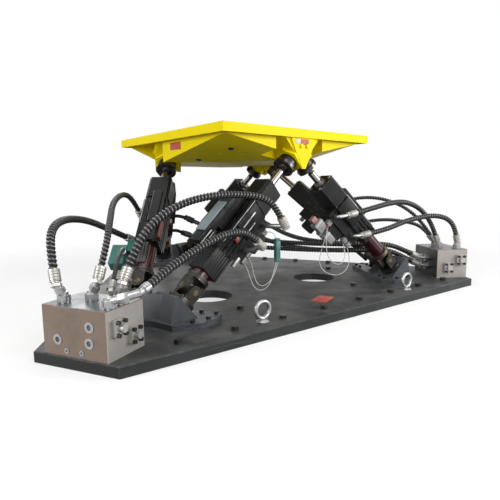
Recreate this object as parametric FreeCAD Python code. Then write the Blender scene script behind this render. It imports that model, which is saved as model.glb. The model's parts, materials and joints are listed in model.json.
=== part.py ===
import FreeCAD, Part
import math
import os

from FreeCAD import Vector

# Hydraulic motion platform with six legs. Sizes in millimetres.
# Origin: middle of the base plate on its underside. +Z is up, -Y is the long near side.

# Base plate: a triangle with its three corners cut off
BASE_LONG_SIDE = 2596.0
BASE_CORNER_SIDE = 448.0
BASE_THICKNESS = 50.0
BASE_EDGE_CHAMFER = 4.0
CUTOUT_RADIUS = 150.0
CUTOUT_DISTANCE = 524.0
CORNERS = {"left": 210.0, "right": 330.0, "back": 90.0}

# Anchor bolts along each long side
ANCHOR_COUNT = 8
ANCHOR_PITCH = 298.0
ANCHOR_ROW_SHIFT = 45.0
ANCHOR_EDGE_DISTANCE = 98.0
ANCHOR_INNER_SPACING = 940.0
ANCHOR_INNER_DISTANCE = 380.0
ANCHOR_ACROSS_FLATS = 36.0
ANCHOR_HEAD_HEIGHT = 15.0
ANCHOR_SHANK_RADIUS = 12.0
ANCHOR_HOLE_RADIUS = 13.0
ANCHOR_DEPTH = 40.0
WASHER_RADIUS = 22.0
WASHER_THICKNESS = 4.0

# Lifting eyes
EYE_PLACES = ((-513.0, -886.0), (651.0, -913.0), (0.0, 1470.0))
EYE_RING_RADIUS = 43.0
EYE_WIRE_RADIUS = 11.0
EYE_FOOT_RADIUS = 33.0
EYE_FOOT_HEIGHT = 10.0
EYE_SHANK_RADIUS = 15.0
EYE_SHANK_DEPTH = 40.0
EYE_HOLE_RADIUS = 15.5

# Manifold blocks at the left and right corners
BLOCK_WIDTH = 334.0
BLOCK_DEPTH = 229.0
BLOCK_HEIGHT = 206.0
BLOCK_SETBACK = 6.5
BLOCK_CHAMFER = 3.0
BIG_PLUG_RADIUS = 22.0
SMALL_PLUG_RADIUS = 11.0
PLUG_PROUD = 3.0
PLUG_DEPTH = 18.0
PLUG_SEAT_GAP = 0.3
BIG_PLUGS = ((-87.0, 67.0), (82.0, 135.0), (77.0, 69.0))
SMALL_PLUGS = ((-42.0, 24.0), (36.0, 24.0))
PLUGS = ((BIG_PLUGS, BIG_PLUG_RADIUS), (SMALL_PLUGS, SMALL_PLUG_RADIUS))
FLANGE_WIDTH = 62.0
FLANGE_HEIGHT = 74.0
FLANGE_THICKNESS = 22.0
FLANGE_PLACES = ((58.0, 130.0), (150.0, 76.0))
FLANGE_CHAMFER = 6.0
FLANGE_NECK_RADIUS = 17.0
FLANGE_NECK_LENGTH = 20.0
SCREW_HEAD_RADIUS = 9.0
SCREW_HEAD_HEIGHT = 12.0
SCREW_SPACING_X = 40.0
SCREW_SPACING_Z = 52.0

# Hose fittings on the blocks
NUT_ACROSS_FLATS = 46.0
NUT_HEIGHT = 24.0
FERRULE_RADIUS = 22.0
THIN_FERRULE_RADIUS = 14.0

# Joint circles
BASE_JOINT_DISTANCE = 1000.0
BASE_JOINT_OFFSET = 150.0
BASE_JOINT_HEIGHT = 198.0
TOP_JOINT_DISTANCE = 520.0
TOP_JOINT_OFFSET = 85.0
TOP_PAIRS = {"near": 270.0, "right": 30.0, "left": 150.0}
PLATFORM_YAW = 3.6

# Platform
PLATE_X = 1225.0
PLATE_Y = 1213.0
PLATE_TOP = 1054.0
PLATE_SKIN = 15.0
RIM_DEPTH = 50.0
RIM_THICKNESS = 12.0
TOP_JOINT_DEPTH = 206.0
PAYLOAD_PCD = 1000.0
PAYLOAD_HOLES = 8
PAYLOAD_HOLE_RADIUS = 9.0
FRAME_INSET = 45.0
FRAME_DEPTH = 160.0
FRAME_WALL = 8.0
CORNER_DEPTH = 50.0
SLOPES = {225: 330.0, 315: 330.0, 45: 560.0, 135: 560.0}
NOTCH_HALF_WIDTH = 200.0
NOTCH_INNER = 95.0
BRACKET_OUTER = 62.0
BRACKET_HALF_WIDTH = 150.0
BRACKET_LOW = 25.0
SEAT_DISTANCE = 55.0
SEAT_PLATE_THICKNESS = 20.0
SEAT_PLATE_RADIUS = 86.0
GUSSET_THICKNESS = 12.0
GUSSET_HALF_TIP = 14.0
GUSSET_HALF_TOP = 100.0
GUSSET_SHOULDER = 50.0
GUSSET_BOLT_FLATS = 24.0
GUSSET_BOLT_HEIGHT = 11.0
GUSSET_BOLT_SPACING = 50.0
GUSSET_BOLT_DROP = 82.0
SOCKET_ROOM = 9.0
DRAIN_CORNERS = (225, 315)
DRAIN_DISTANCE = 480.0
DRAIN_SPACING = 150.0
DRAIN_RADIUS = 12.0

# Ball joints
BALL_RADIUS = 38.0
SOCKET_CLEARANCE = 6.0
SOCKET_SHIFT = 5.8
SOCKET_RADIUS = 58.0
SOCKET_LOW = -8.0
RING_RADIUS = 66.0
RING_LOW = -28.0
RING_SCREW_CIRCLE = 55.0
RING_SCREW_RADIUS = 5.0
RING_SCREW_PROUD = 4.0

# Legs, measured along the leg from the base joint
CROSS_HALF = 22.0
TRUNNION_RADIUS = 14.0
TRUNNION_REACH = 61.0
JOINT_GAP = 0.05
EAR_INNER = 34.0
EAR_OUTER = 60.0
EAR_HALF_WIDTH = 30.0
LOWER_EAR_HALF_WIDTH = 33.0
YOKE_FLANGE = 85.0
YOKE_PLATE = 25.0
YOKE_RADIUS = 75.0
BARREL_RADIUS = 50.0
BARREL_BORE = 35.0
BARREL_FLOOR = 108.0
BARREL_END = 612.0
HEAD_END = 780.0
HEAD_WIDTH = 140.0
HEAD_CHAMFER = 16.0
HOUSING_START = 262.0
HOUSING_WIDTH = 128.0
HOUSING_CHAMFER = 8.0
HOUSING_GAP = 0.2
GROOVE_COUNT = 3
GROOVE_WIDTH = 13.0
GROOVE_DEPTH = 9.0
ROD_RADIUS = 22.5
ROD_GAP = 0.05
PISTON_START = 114.0
PISTON_LENGTH = 42.0
NECK_RADIUS = 18.0
NECK_LENGTH = 46.0
GLAND_RADIUS = 36.0
GLAND_HEIGHT = 14.0

# Valve group on the underside of each leg. A turned leg has its hoses on the other side
TURNED_LEGS = (6,)
MANIFOLD_OUT = 128.0
MANIFOLD_HALF = 50.0
MANIFOLD_START = 322.0
MANIFOLD_END = 608.0
SERVO_OUT = 186.0
SERVO_HALF = 34.0
SERVO_START = 430.0
SERVO_END = 536.0
SENSOR_OUT = 122.0
SENSOR_START = 366.0
SENSOR_END = 606.0
SENSOR_WIDTH = 62.0
SENSOR_OFFSET = 56.0
SENSOR_CHAMFER = 8.0
CONNECTOR_SIZE = 34.0
CONNECTOR_PROUD = 36.0
CONNECTOR_OFFSET = 6.0
CONNECTOR_PLACES = (330.0, 374.0, 548.0)
GLAND_BOX_WIDTH = 58.0
GLAND_BOX_START = 222.0
GLAND_BOX_END = 306.0
GLAND_BOX_OUT = 118.0
PORT_X = 95.0
PORT_REACH = 42.0
FITTING_RADIUS = 13.0

# Base brackets
BRACKET_FLANGE_TOP = 80.0
WEDGE_HALF = 82.0
WEDGE_CREST = 205.0
WEDGE_CREST_LENGTH = 20.0
WEDGE_OUTER_SLOPE = 30.0
BRACKET_OUTLINE = ((925.0, 150.0), (925.0, 300.0), (1010.0, 320.0),
                   (1120.0, 285.0), (1206.0, 182.0), (1180.0, 80.0))
FOOT_BOLT_RADIUS = 12.0
FOOT_BOLT_HEIGHT = 14.0
YOKE_BOLT_CIRCLE = 60.0
YOKE_BOLT_RADIUS = 8.0
FOOT_BOLTS = ((950.0, 280.0), (950.0, 195.0), (1040.0, 284.0), (1128.0, 248.0))

# Hoses: centre line points from the block to the leg, chosen by hand
HOSE_RADIUS = 19.0
MEDIUM_HOSE_RADIUS = 16.0
THIN_HOSE_RADIUS = 10.0
HOSE_POINTS = {
    "hose_left_1": ((-1432, -680, 378), (-1432, -635, 475), (-1400, -545, 555), (-1300, -380, 580),
        (-1145, -190, 555), (-995, -70, 490), (-865, -35, 425)),
    "hose_left_2": ((-1265, -745, 380), (-1225, -715, 475), (-1160, -590, 570), (-1065, -370, 650),
        (-930, -150, 690), (-815, 0, 660), (-750, 55, 570)),
    "hose_left_3": ((-1235, -800, 325), (-1195, -735, 380), (-1135, -610, 410), (-1030, -400, 420),
        (-972, -226, 372)),
    "hose_left_4": ((-1195, -865, 385), (-1145, -845, 480), (-1055, -815, 570), (-905, -790, 650),
        (-700, -770, 685), (-500, -760, 680), (-395, -765, 657), (-327, -764, 611), (-280, -761, 541)),
    "hose_left_5": ((-1155, -975, 335), (-1055, -925, 375), (-915, -880, 430), (-745, -835, 485),
        (-620, -805, 503), (-520, -782, 487), (-446, -762, 432)),
    "hose_right_1": ((1285, -885, 342), (1268, -878, 408), (1229, -863, 461), (1165, -840, 494),
        (1060, -800, 505), (860, -755, 478), (685, -725, 425), (540, -680, 400)),
    "hose_right_2": ((1225, -760, 335), (1185, -740, 450), (1085, -712, 550), (930, -695, 605),
        (750, -690, 600), (585, -680, 570), (430, -655, 540)),
    "hose_right_3": ((1268, -701, 328), (1240, -650, 415), (1195, -560, 520), (1130, -455, 590),
        (1045, -315, 630), (940, -170, 615), (800, -20, 555)),
    "hose_right_4": ((1338, -640, 325), (1305, -590, 395), (1250, -520, 430), (1125, -375, 455),
        (985, -235, 425), (870, -110, 395)),
    "hose_back_1": ((1120, -619, 152), (1060, -585, 184), (985, -541, 230), (880, -481, 244),
        (755, -360, 240), (650, -190, 228), (570, 0, 230), (520, 190, 245), (490, 360, 275),
        (460, 510, 320), (425, 635, 372)),
    "hose_back_2": ((1120, -619, 206), (1050, -579, 244), (975, -535, 278), (870, -472, 288),
        (745, -350, 284), (640, -190, 290), (560, -10, 305), (530, 170, 340), (515, 330, 395),
        (490, 450, 445), (455, 530, 485)),
    "hose_back_3": ((1096, -661, 152), (1036, -627, 184), (960, -583, 230), (855, -523, 244),
        (700, -390, 242), (520, -200, 240), (330, 20, 248), (140, 230, 262), (25, 385, 285),
        (-60, 495, 312), (-125, 580, 342)),
    "hose_back_4": ((1096, -661, 206), (1026, -621, 244), (950, -577, 278), (845, -516, 288),
        (700, -390, 286), (520, -200, 288), (340, 0, 298), (170, 170, 322), (30, 300, 362),
        (-75, 385, 412), (-160, 455, 465)),
}
# The port each hose starts at: corner, distance along the bisector and offset, then its leg and leg height.
# A back hose leaves the inner face of its block, so its second value is a height.
HOSE_ENDS = {
    "hose_left_1": ("left", 1564.0, -101.0, 1, 380.0),
    "hose_left_2": ("left", 1495.0, -16.0, 1, 570.0),
    "hose_left_3": ("left", 1486.0, 78.0, 1, 264.0),
    "hose_left_4": ("left", 1490.0, 138.0, 2, 570.0),
    "hose_left_5": ("left", 1570.0, 140.0, 2, 380.0),
    "hose_right_1": ("right", 1560.0, -124.0, 3, 380.0),
    "hose_right_2": ("right", 1466.0, -52.0, 3, 570.0),
    "hose_right_3": ("right", 1480.0, 17.0, 4, 570.0),
    "hose_right_4": ("right", 1516.0, 102.0, 4, 380.0),
    "hose_back_1": ("right", 120.0, 28.0, 5, 380.0),
    "hose_back_2": ("right", 178.0, 28.0, 5, 570.0),
    "hose_back_3": ("right", 120.0, -28.0, 6, 380.0),
    "hose_back_4": ("right", 178.0, -28.0, 6, 570.0),
}
MEDIUM_HOSES = ("hose_left_2", "hose_right_3", "hose_right_4")
THIN_HOSES = ("hose_left_3",)
FERRULE_LENGTH = 44.0
FERRULE_SETBACK = 0.25
PIPE_SHARE = 0.64

# Signal wires, chosen by hand
WIRE_RADIUS = 2.5
WIRE_POINTS = {
    "signal_wires_2": (
        ((-423, -600, 303), (-408, -612, 268), (-412, -645, 215), (-408, -680, 165), (-378, -705, 150),
         (-340, -728, 185), (-318, -732, 245), (-300, -735, 309)),
        ((-390, -596, 332), (-374, -602, 300), (-385, -640, 240), (-392, -678, 190), (-366, -700, 172),
         (-328, -722, 205), (-300, -729, 255), (-284, -733, 309)),
        ((-300, -735, 439), (-302, -722, 464), (-310, -680, 476), (-324, -613, 456)),
    ),
    "signal_wires_3": (
        ((270, -574, 469), (264, -578, 436), (245, -575, 380), (215, -568, 300), (200, -565, 225),
         (225, -590, 165), (285, -630, 140), (350, -655, 160), (400, -650, 215), (425, -620, 270),
         (430, -596, 314)),
        ((274, -554, 469), (268, -560, 434), (262, -572, 375), (250, -580, 310), (258, -598, 250),
         (300, -622, 210), (352, -632, 215), (385, -622, 260), (398, -603, 305), (399, -588, 346)),
    ),
}
# The first two wires of these nodes end in terminals, and the third one holds them
HUNG_TERMINALS = ("signal_wires_2",)
TERMINAL_WIDTH = 16.0
TERMINAL_DEPTH = 24.0
TERMINAL_HEIGHT = 130.0


def save(name, solids):
    """Writes the solids of one node."""
    shape = solids[0] if len(solids) == 1 else Part.makeCompound(solids)
    shape.exportStep("parts/" + name + ".step")
    volume = sum(solid.Volume for solid in solids)
    print(name, "solids", len(shape.Solids), "litres", round(volume / 1e6, 2), "valid", shape.isValid())


def box(x0, x1, y0, y1, z0, z1):
    """A block between two corners, in any order."""
    low = Vector(min(x0, x1), min(y0, y1), min(z0, z1))
    return Part.makeBox(abs(x1 - x0), abs(y1 - y0), abs(z1 - z0), low)


def rod(radius, start, end):
    """A round bar between two points."""
    return Part.makeCylinder(radius, (end - start).Length, start, end - start)


def upright(radius, x, y, z0, z1):
    """A vertical round bar."""
    return Part.makeCylinder(radius, z1 - z0, Vector(x, y, z0))


def prism(outline, z0, z1):
    """An upright prism on a closed outline."""
    points = [Vector(x, y, z0) for x, y in outline]
    face = Part.Face(Part.makePolygon(points + points[:1]))
    return face.extrude(Vector(0, 0, z1 - z0))


def hexagon(across_flats, z0, z1):
    """An upright hexagonal prism on the Z axis."""
    radius = across_flats / math.sqrt(3)
    turns = [math.radians(60 * k) for k in range(6)]
    return prism([(radius * math.cos(a), radius * math.sin(a)) for a in turns], z0, z1)


def placed(shape, placement):
    """A copy of a shape, moved by a placement."""
    moved = shape.copy()
    moved.Placement = placement.multiply(moved.Placement)
    return moved


def axes_placement(origin, x_axis, y_axis, z_axis):
    """The placement that takes the local axes to three unit vectors at an origin."""
    matrix = FreeCAD.Matrix(
        x_axis.x, y_axis.x, z_axis.x, origin.x,
        x_axis.y, y_axis.y, z_axis.y, origin.y,
        x_axis.z, y_axis.z, z_axis.z, origin.z,
        0, 0, 0, 1)
    return FreeCAD.Placement(matrix)


def turned(angle, height=0.0):
    """The placement that turns about the Z axis and lifts."""
    return FreeCAD.Placement(Vector(0, 0, height), FreeCAD.Rotation(Vector(0, 0, 1), angle))


def polar(angle, distance, offset, height):
    """A point given along and across the direction of an angle."""
    a = math.radians(angle)
    x = distance * math.cos(a) - offset * math.sin(a)
    y = distance * math.sin(a) + offset * math.cos(a)
    return Vector(x, y, height)


def unit(vector):
    """The same direction, one long."""
    return Vector(vector).normalize()


class Leg:
    """Where one leg stands: its two joints and its own axes, with Z along the leg."""

    def __init__(self, number, corner, corner_side, pair, pair_side):
        self.number = number
        self.hand = 1.0 if number % 2 else -1.0
        self.hand = -self.hand if number in TURNED_LEGS else self.hand
        offset = corner_side * BASE_JOINT_OFFSET
        self.base = polar(CORNERS[corner], BASE_JOINT_DISTANCE, offset, BASE_JOINT_HEIGHT)
        top_height = PLATE_TOP - TOP_JOINT_DEPTH
        angle = TOP_PAIRS[pair] + PLATFORM_YAW
        self.top = polar(angle, TOP_JOINT_DISTANCE, pair_side * TOP_JOINT_OFFSET, top_height)
        self.length = (self.top - self.base).Length
        self.axis = unit(self.top - self.base)
        self.plan = unit(Vector(self.axis.x, self.axis.y, 0))
        self.side = Vector(-self.plan.y, self.plan.x, 0)
        self.under = self.side.cross(self.axis)
        self.at_base = axes_placement(self.base, self.under, self.side, self.axis)
        self.at_top = axes_placement(self.top, self.under, self.side, self.axis)

    def point(self, x, y, z):
        """A point given in the leg's own axes."""
        return self.base + self.under * x + self.side * y + self.axis * z


LEGS = (
    Leg(1, "left", -1, "left", 1),
    Leg(2, "left", 1, "near", -1),
    Leg(3, "right", -1, "near", 1),
    Leg(4, "right", 1, "right", -1),
    Leg(5, "back", -1, "right", 1),
    Leg(6, "back", 1, "left", -1),
)


def base_outline():
    """The corners of the base plate, two at each cut corner."""
    reach = (BASE_LONG_SIDE / 2 + BASE_CORNER_SIDE) / math.cos(math.radians(30))
    reach = reach - BASE_CORNER_SIDE / 2 * math.tan(math.radians(60))
    points = []
    for angle in sorted(CORNERS.values()):
        for side in (-1, 1):
            corner = polar(angle, reach, side * BASE_CORNER_SIDE / 2, 0)
            points.append((corner.x, corner.y))
    return points, reach


BASE_POINTS, CORNER_REACH = base_outline()


def near_edge_distance():
    """How far the long sides lie from the middle."""
    xs = [-y for x, y in BASE_POINTS]
    return max(xs)


def anchor_places():
    """All anchor bolts: a row and two inner ones along each long side."""
    edge = near_edge_distance()
    places = []
    for side in range(3):
        angle = 270 + 120 * side
        for k in range(ANCHOR_COUNT):
            along = (k - (ANCHOR_COUNT - 1) / 2) * ANCHOR_PITCH + ANCHOR_ROW_SHIFT
            places.append(polar(angle, edge - ANCHOR_EDGE_DISTANCE, along, BASE_THICKNESS))
        for k in (-1, 1):
            along = k * ANCHOR_INNER_SPACING / 2
            places.append(polar(angle, edge - ANCHOR_INNER_DISTANCE, along, BASE_THICKNESS))
    return places


def base_plate():
    """The ground plate with its cut-outs and blind holes."""
    plate = prism(BASE_POINTS, 0, BASE_THICKNESS)
    rim = [edge for edge in plate.Edges if abs(edge.CenterOfMass.z - BASE_THICKNESS) < 0.01]
    plate = plate.makeChamfer(BASE_EDGE_CHAMFER, rim)
    tools = []
    for angle in CORNERS.values():
        centre = polar(angle, CUTOUT_DISTANCE, 0, 0)
        tools.append(upright(CUTOUT_RADIUS, centre.x, centre.y, -1, BASE_THICKNESS + 1))
    for place in anchor_places():
        floor = BASE_THICKNESS - ANCHOR_DEPTH
        tools.append(upright(ANCHOR_HOLE_RADIUS, place.x, place.y, floor, BASE_THICKNESS + 1))
    for x, y in EYE_PLACES:
        tools.append(upright(EYE_HOLE_RADIUS, x, y, BASE_THICKNESS - EYE_SHANK_DEPTH, BASE_THICKNESS + 1))
    return plate.cut(tools)


def anchor_bolts():
    """A washer, a hexagonal head and a shank at each anchor place."""
    bolts = []
    for place in anchor_places():
        head = hexagon(ANCHOR_ACROSS_FLATS, WASHER_THICKNESS, WASHER_THICKNESS + ANCHOR_HEAD_HEIGHT)
        washer = upright(WASHER_RADIUS, 0, 0, 0, WASHER_THICKNESS)
        shank = upright(ANCHOR_SHANK_RADIUS, 0, 0, -ANCHOR_DEPTH, 0)
        bolt = head.fuse([washer, shank])
        bolt.translate(place)
        bolts.append(bolt)
    return bolts


def lifting_eyes():
    """A ring on a collar with a shank in the plate."""
    eyes = []
    for x, y in EYE_PLACES:
        centre = EYE_FOOT_HEIGHT + EYE_RING_RADIUS + EYE_WIRE_RADIUS / 2
        ring = Part.makeTorus(EYE_RING_RADIUS, EYE_WIRE_RADIUS, Vector(0, 0, centre), Vector(0, 1, 0))
        foot = Part.makeCone(EYE_FOOT_RADIUS, EYE_FOOT_RADIUS * 0.72, EYE_FOOT_HEIGHT)
        shank = upright(EYE_SHANK_RADIUS, 0, 0, -EYE_SHANK_DEPTH, 0)
        eye = ring.fuse([foot, shank])
        eye.translate(Vector(x, y, BASE_THICKNESS))
        eyes.append(eye)
    return eyes


def block_frame(corner):
    """The placement of a block: X outward along the bisector from the outer face, Z from the plate."""
    outer = CORNER_REACH - BLOCK_SETBACK
    origin = polar(CORNERS[corner], outer, 0, BASE_THICKNESS)
    return FreeCAD.Placement(origin, FreeCAD.Rotation(Vector(0, 0, 1), CORNERS[corner]))


def near_side(corner):
    """The sign of the tangential side of a block that faces the near edge."""
    return 1.0 if corner == "left" else -1.0


def manifold_block(corner):
    """The drilled block with sockets for its plugs."""
    side = near_side(corner)
    half = BLOCK_WIDTH / 2
    block = box(-BLOCK_DEPTH, 0, -half, half, 0, BLOCK_HEIGHT)
    block = block.makeChamfer(BLOCK_CHAMFER, [e for e in block.Edges if e.CenterOfMass.z > 1])
    tools = []
    for places, radius in PLUGS:
        for y, z in places:
            floor = Vector(-PLUG_DEPTH, side * y, z)
            tools.append(rod(radius + PLUG_SEAT_GAP, floor, Vector(PLUG_PROUD, side * y, z)))
    return placed(block.cut(tools), block_frame(corner))


def manifold_plugs(corner):
    """Round plugs with hexagonal sockets in the outer face."""
    side = near_side(corner)
    plugs = []
    for places, radius in PLUGS:
        for y, z in places:
            plug = upright(radius, 0, 0, -PLUG_DEPTH, PLUG_PROUD)
            plug = plug.cut(hexagon(radius, PLUG_PROUD - radius * 0.5, PLUG_PROUD + 1))
            lay = axes_placement(Vector(0, side * y, z), Vector(0, 1, 0), Vector(0, 0, 1), Vector(1, 0, 0))
            plugs.append(placed(plug, block_frame(corner).multiply(lay)))
    return plugs


def side_face_frame(corner, back, height):
    """The placement of a flange on the near side face, Z pointing out of the face."""
    side = near_side(corner)
    origin = Vector(-back, side * BLOCK_WIDTH / 2, height)
    lay = axes_placement(origin, Vector(0, 0, 1), Vector(side, 0, 0), Vector(0, side, 0))
    return block_frame(corner).multiply(lay)


def port_flanges(corner):
    """Split flange halves with a closed neck, three on each side face."""
    flanges = []
    for back, height in FLANGE_PLACES:
        tall = FLANGE_HEIGHT / 2
        wide = FLANGE_WIDTH / 2
        plate = box(-tall, tall, -wide, wide, 0, FLANGE_THICKNESS)
        corners = [e for e in plate.Edges if abs(e.Length - FLANGE_THICKNESS) < 0.01]
        plate = plate.makeChamfer(FLANGE_CHAMFER, corners)
        neck = upright(FLANGE_NECK_RADIUS, 0, 0, FLANGE_THICKNESS, FLANGE_THICKNESS + FLANGE_NECK_LENGTH)
        flanges.append(placed(plate.fuse(neck), side_face_frame(corner, back, height)))
    return flanges


def flange_screws(corner):
    """Socket screw heads at the four corners of each flange."""
    screws = []
    for back, height in FLANGE_PLACES:
        for a in (-1, 1):
            for b in (-1, 1):
                x = a * SCREW_SPACING_Z / 2
                y = b * SCREW_SPACING_X / 2
                top = FLANGE_THICKNESS + SCREW_HEAD_HEIGHT
                screw = upright(SCREW_HEAD_RADIUS, x, y, FLANGE_THICKNESS, top)
                screws.append(placed(screw, side_face_frame(corner, back, height)))
    return screws


def plan_frame(leg):
    """The placement under a leg's base joint: X inward along the leg's plan, Z up from the ground."""
    origin = Vector(leg.base.x, leg.base.y, 0)
    return axes_placement(origin, leg.plan, leg.side, Vector(0, 0, 1))


def wedge(leg):
    """The sloped foot that carries one lower yoke."""
    cosine = math.hypot(leg.axis.x, leg.axis.y)
    sine = leg.axis.z
    seat_x = -YOKE_FLANGE * cosine
    seat_z = BASE_JOINT_HEIGHT - YOKE_FLANGE * sine

    def on_slope(height):
        return seat_x - (height - seat_z) * sine / cosine

    crest = on_slope(WEDGE_CREST)
    foot = BRACKET_FLANGE_TOP - 5
    profile = ((on_slope(foot), foot), (crest, WEDGE_CREST), (crest - WEDGE_CREST_LENGTH, WEDGE_CREST),
               (crest - WEDGE_CREST_LENGTH - WEDGE_OUTER_SLOPE, foot))
    points = [Vector(x, -WEDGE_HALF, z) for x, z in profile]
    face = Part.Face(Part.makePolygon(points + points[:1]))
    return placed(face.extrude(Vector(0, 2 * WEDGE_HALF, 0)), plan_frame(leg))


def corner_legs(corner):
    """The two legs that stand on a corner."""
    first = list(CORNERS).index(corner) * 2
    return LEGS[first:first + 2]


def base_bracket(corner):
    """One bracket: a foot plate, two sloped feet and the wall between them."""
    outline = [(x, y) for x, y in BRACKET_OUTLINE]
    outline += [(x, -y) for x, y in reversed(BRACKET_OUTLINE)]
    foot = placed(prism(outline, BASE_THICKNESS, BRACKET_FLANGE_TOP), turned(CORNERS[corner]))
    first, second = corner_legs(corner)
    core_points = ((1062.0, BRACKET_FLANGE_TOP - 5), (1062.0, 120.0), (1104.0, WEDGE_CREST - 6),
                   (1122.0, WEDGE_CREST - 6), (1150.0, BRACKET_FLANGE_TOP - 5))
    points = [Vector(x, -92, z) for x, z in core_points]
    core = Part.Face(Part.makePolygon(points + points[:1])).extrude(Vector(0, 184, 0))
    core = placed(core, turned(CORNERS[corner]))
    body = foot.fuse([wedge(first), wedge(second), core])
    tools = [placed(upright(YOKE_RADIUS + 8, 0, 0, -YOKE_FLANGE, 40), leg.at_base) for leg in (first, second)]
    return body.cut(tools).removeSplitter()


def lower_yoke(leg):
    """The fork on the bracket that holds the cross at its side pins."""
    plate = upright(YOKE_RADIUS, 0, 0, -YOKE_FLANGE, -YOKE_FLANGE + YOKE_PLATE)
    ears = []
    for side in (-1, 1):
        stem = box(-LOWER_EAR_HALF_WIDTH, LOWER_EAR_HALF_WIDTH, side * EAR_INNER, side * EAR_OUTER,
                   -YOKE_FLANGE + YOKE_PLATE - 2, 0)
        head = rod(LOWER_EAR_HALF_WIDTH, Vector(0, side * EAR_INNER, 0), Vector(0, side * EAR_OUTER, 0))
        ears += [stem, head]
    yoke = plate.fuse(ears)
    hole = rod(TRUNNION_RADIUS + JOINT_GAP, Vector(0, -90, 0), Vector(0, 90, 0))
    return placed(yoke.cut(hole).removeSplitter(), leg.at_base)


def bracket_screws(corner):
    """Screw heads on the yoke plates and on the foot plate."""
    screws = []
    for leg in corner_legs(corner):
        for k in range(4):
            angle = math.radians(45 + 90 * k)
            x = YOKE_BOLT_CIRCLE * math.cos(angle)
            y = YOKE_BOLT_CIRCLE * math.sin(angle) * 1.02
            low = -YOKE_FLANGE + YOKE_PLATE
            screws.append(placed(upright(YOKE_BOLT_RADIUS, x, y, low, low + SCREW_HEAD_HEIGHT), leg.at_base))
    for distance, offset in FOOT_BOLTS:
        for side in (-1, 1):
            top = BRACKET_FLANGE_TOP + FOOT_BOLT_HEIGHT
            head = upright(FOOT_BOLT_RADIUS, distance, side * offset, BRACKET_FLANGE_TOP, top)
            screws.append(placed(head, turned(CORNERS[corner])))
    return screws


def cross(leg):
    """The cross of the base joint with its four pins."""
    body = box(-CROSS_HALF, CROSS_HALF, -CROSS_HALF, CROSS_HALF, -CROSS_HALF, CROSS_HALF)
    along = rod(TRUNNION_RADIUS, Vector(-TRUNNION_REACH, 0, 0), Vector(TRUNNION_REACH, 0, 0))
    across = rod(TRUNNION_RADIUS, Vector(0, -TRUNNION_REACH, 0), Vector(0, TRUNNION_REACH, 0))
    return placed(body.fuse([along, across]), leg.at_base)


def barrel(leg):
    """The cylinder barrel with the fork at its foot."""
    tube = upright(BARREL_RADIUS, 0, 0, EAR_OUTER + 2, BARREL_END)
    collar = upright(BARREL_RADIUS + 14, 0, 0, EAR_OUTER + 2, EAR_OUTER + 26)
    ears = []
    for side in (-1, 1):
        stem = box(side * EAR_INNER, side * EAR_OUTER, -EAR_HALF_WIDTH, EAR_HALF_WIDTH, 0, EAR_OUTER + 4)
        head = rod(EAR_HALF_WIDTH, Vector(side * EAR_INNER, 0, 0), Vector(side * EAR_OUTER, 0, 0))
        ears += [stem, head]
    body = tube.fuse([collar] + ears)
    bore = upright(BARREL_BORE, 0, 0, BARREL_FLOOR, BARREL_END + 1)
    hole = rod(TRUNNION_RADIUS + JOINT_GAP, Vector(-90, 0, 0), Vector(90, 0, 0))
    return placed(body.cut([bore, hole]).removeSplitter(), leg.at_base)


def square_outline(width, chamfer):
    """A square with cut corners."""
    a = width / 2
    b = a - chamfer
    return [(-b, -a), (b, -a), (a, -b), (a, b), (b, a), (-b, a), (-a, b), (-a, -b)]


def ribbed_outline():
    """A square section with long grooves on each side."""
    a = HOUSING_WIDTH / 2
    b = a - HOUSING_CHAMFER
    pitch = 2 * b / (GROOVE_COUNT + 1)
    side = [(-b, -a)]
    for k in range(GROOVE_COUNT):
        middle = -b + (k + 1) * pitch
        left = middle - GROOVE_WIDTH / 2
        right = middle + GROOVE_WIDTH / 2
        side += [(left, -a), (left, -a + GROOVE_DEPTH), (right, -a + GROOVE_DEPTH), (right, -a)]
    side.append((b, -a))
    points = []
    for turn in range(4):
        c = round(math.cos(math.pi / 2 * turn))
        s = round(math.sin(math.pi / 2 * turn))
        points += [(c * x - s * y, s * x + c * y) for x, y in side]
    return points


def housing(leg):
    """The ribbed housing round the barrel and the head block above it."""
    sleeve = prism(ribbed_outline(), HOUSING_START, BARREL_END)
    sleeve = sleeve.cut(upright(BARREL_RADIUS + HOUSING_GAP, 0, 0, HOUSING_START - 1, BARREL_END + 1))
    head = prism(square_outline(HEAD_WIDTH, HEAD_CHAMFER), BARREL_END, HEAD_END)
    top = HEAD_END + GLAND_HEIGHT
    gland = upright(GLAND_RADIUS, 0, 0, HEAD_END, top)
    head = head.fuse(gland).cut(upright(ROD_RADIUS + ROD_GAP, 0, 0, BARREL_END - 1, top + 1))
    return [placed(sleeve, leg.at_base), placed(head, leg.at_base)]


def rod_and_ball(leg):
    """The piston, the rod and the ball at the top joint."""
    piston = upright(BARREL_BORE - ROD_GAP, 0, 0, PISTON_START, PISTON_START + PISTON_LENGTH)
    bar = upright(ROD_RADIUS, 0, 0, PISTON_START, leg.length - NECK_LENGTH - BALL_RADIUS / 2)
    neck = upright(NECK_RADIUS, 0, 0, PISTON_START, leg.length - BALL_RADIUS / 2)
    ball = Part.makeSphere(BALL_RADIUS, Vector(0, 0, leg.length))
    return placed(piston.fuse([bar, neck, ball]), leg.at_base)


def elbow(foot, facing, reach, mouth, hose_end, radius, ferrule):
    """A rigid fitting from a port to a hose: a stub, a bend, an arm and the ferrule."""
    bend = foot + facing * reach
    pipe = tube((foot, bend, mouth, hose_end), radius, "fitting")
    sleeve_start = mouth + (hose_end - mouth) * FERRULE_SETBACK
    return pipe.fuse(rod(ferrule, sleeve_start, hose_end))


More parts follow.
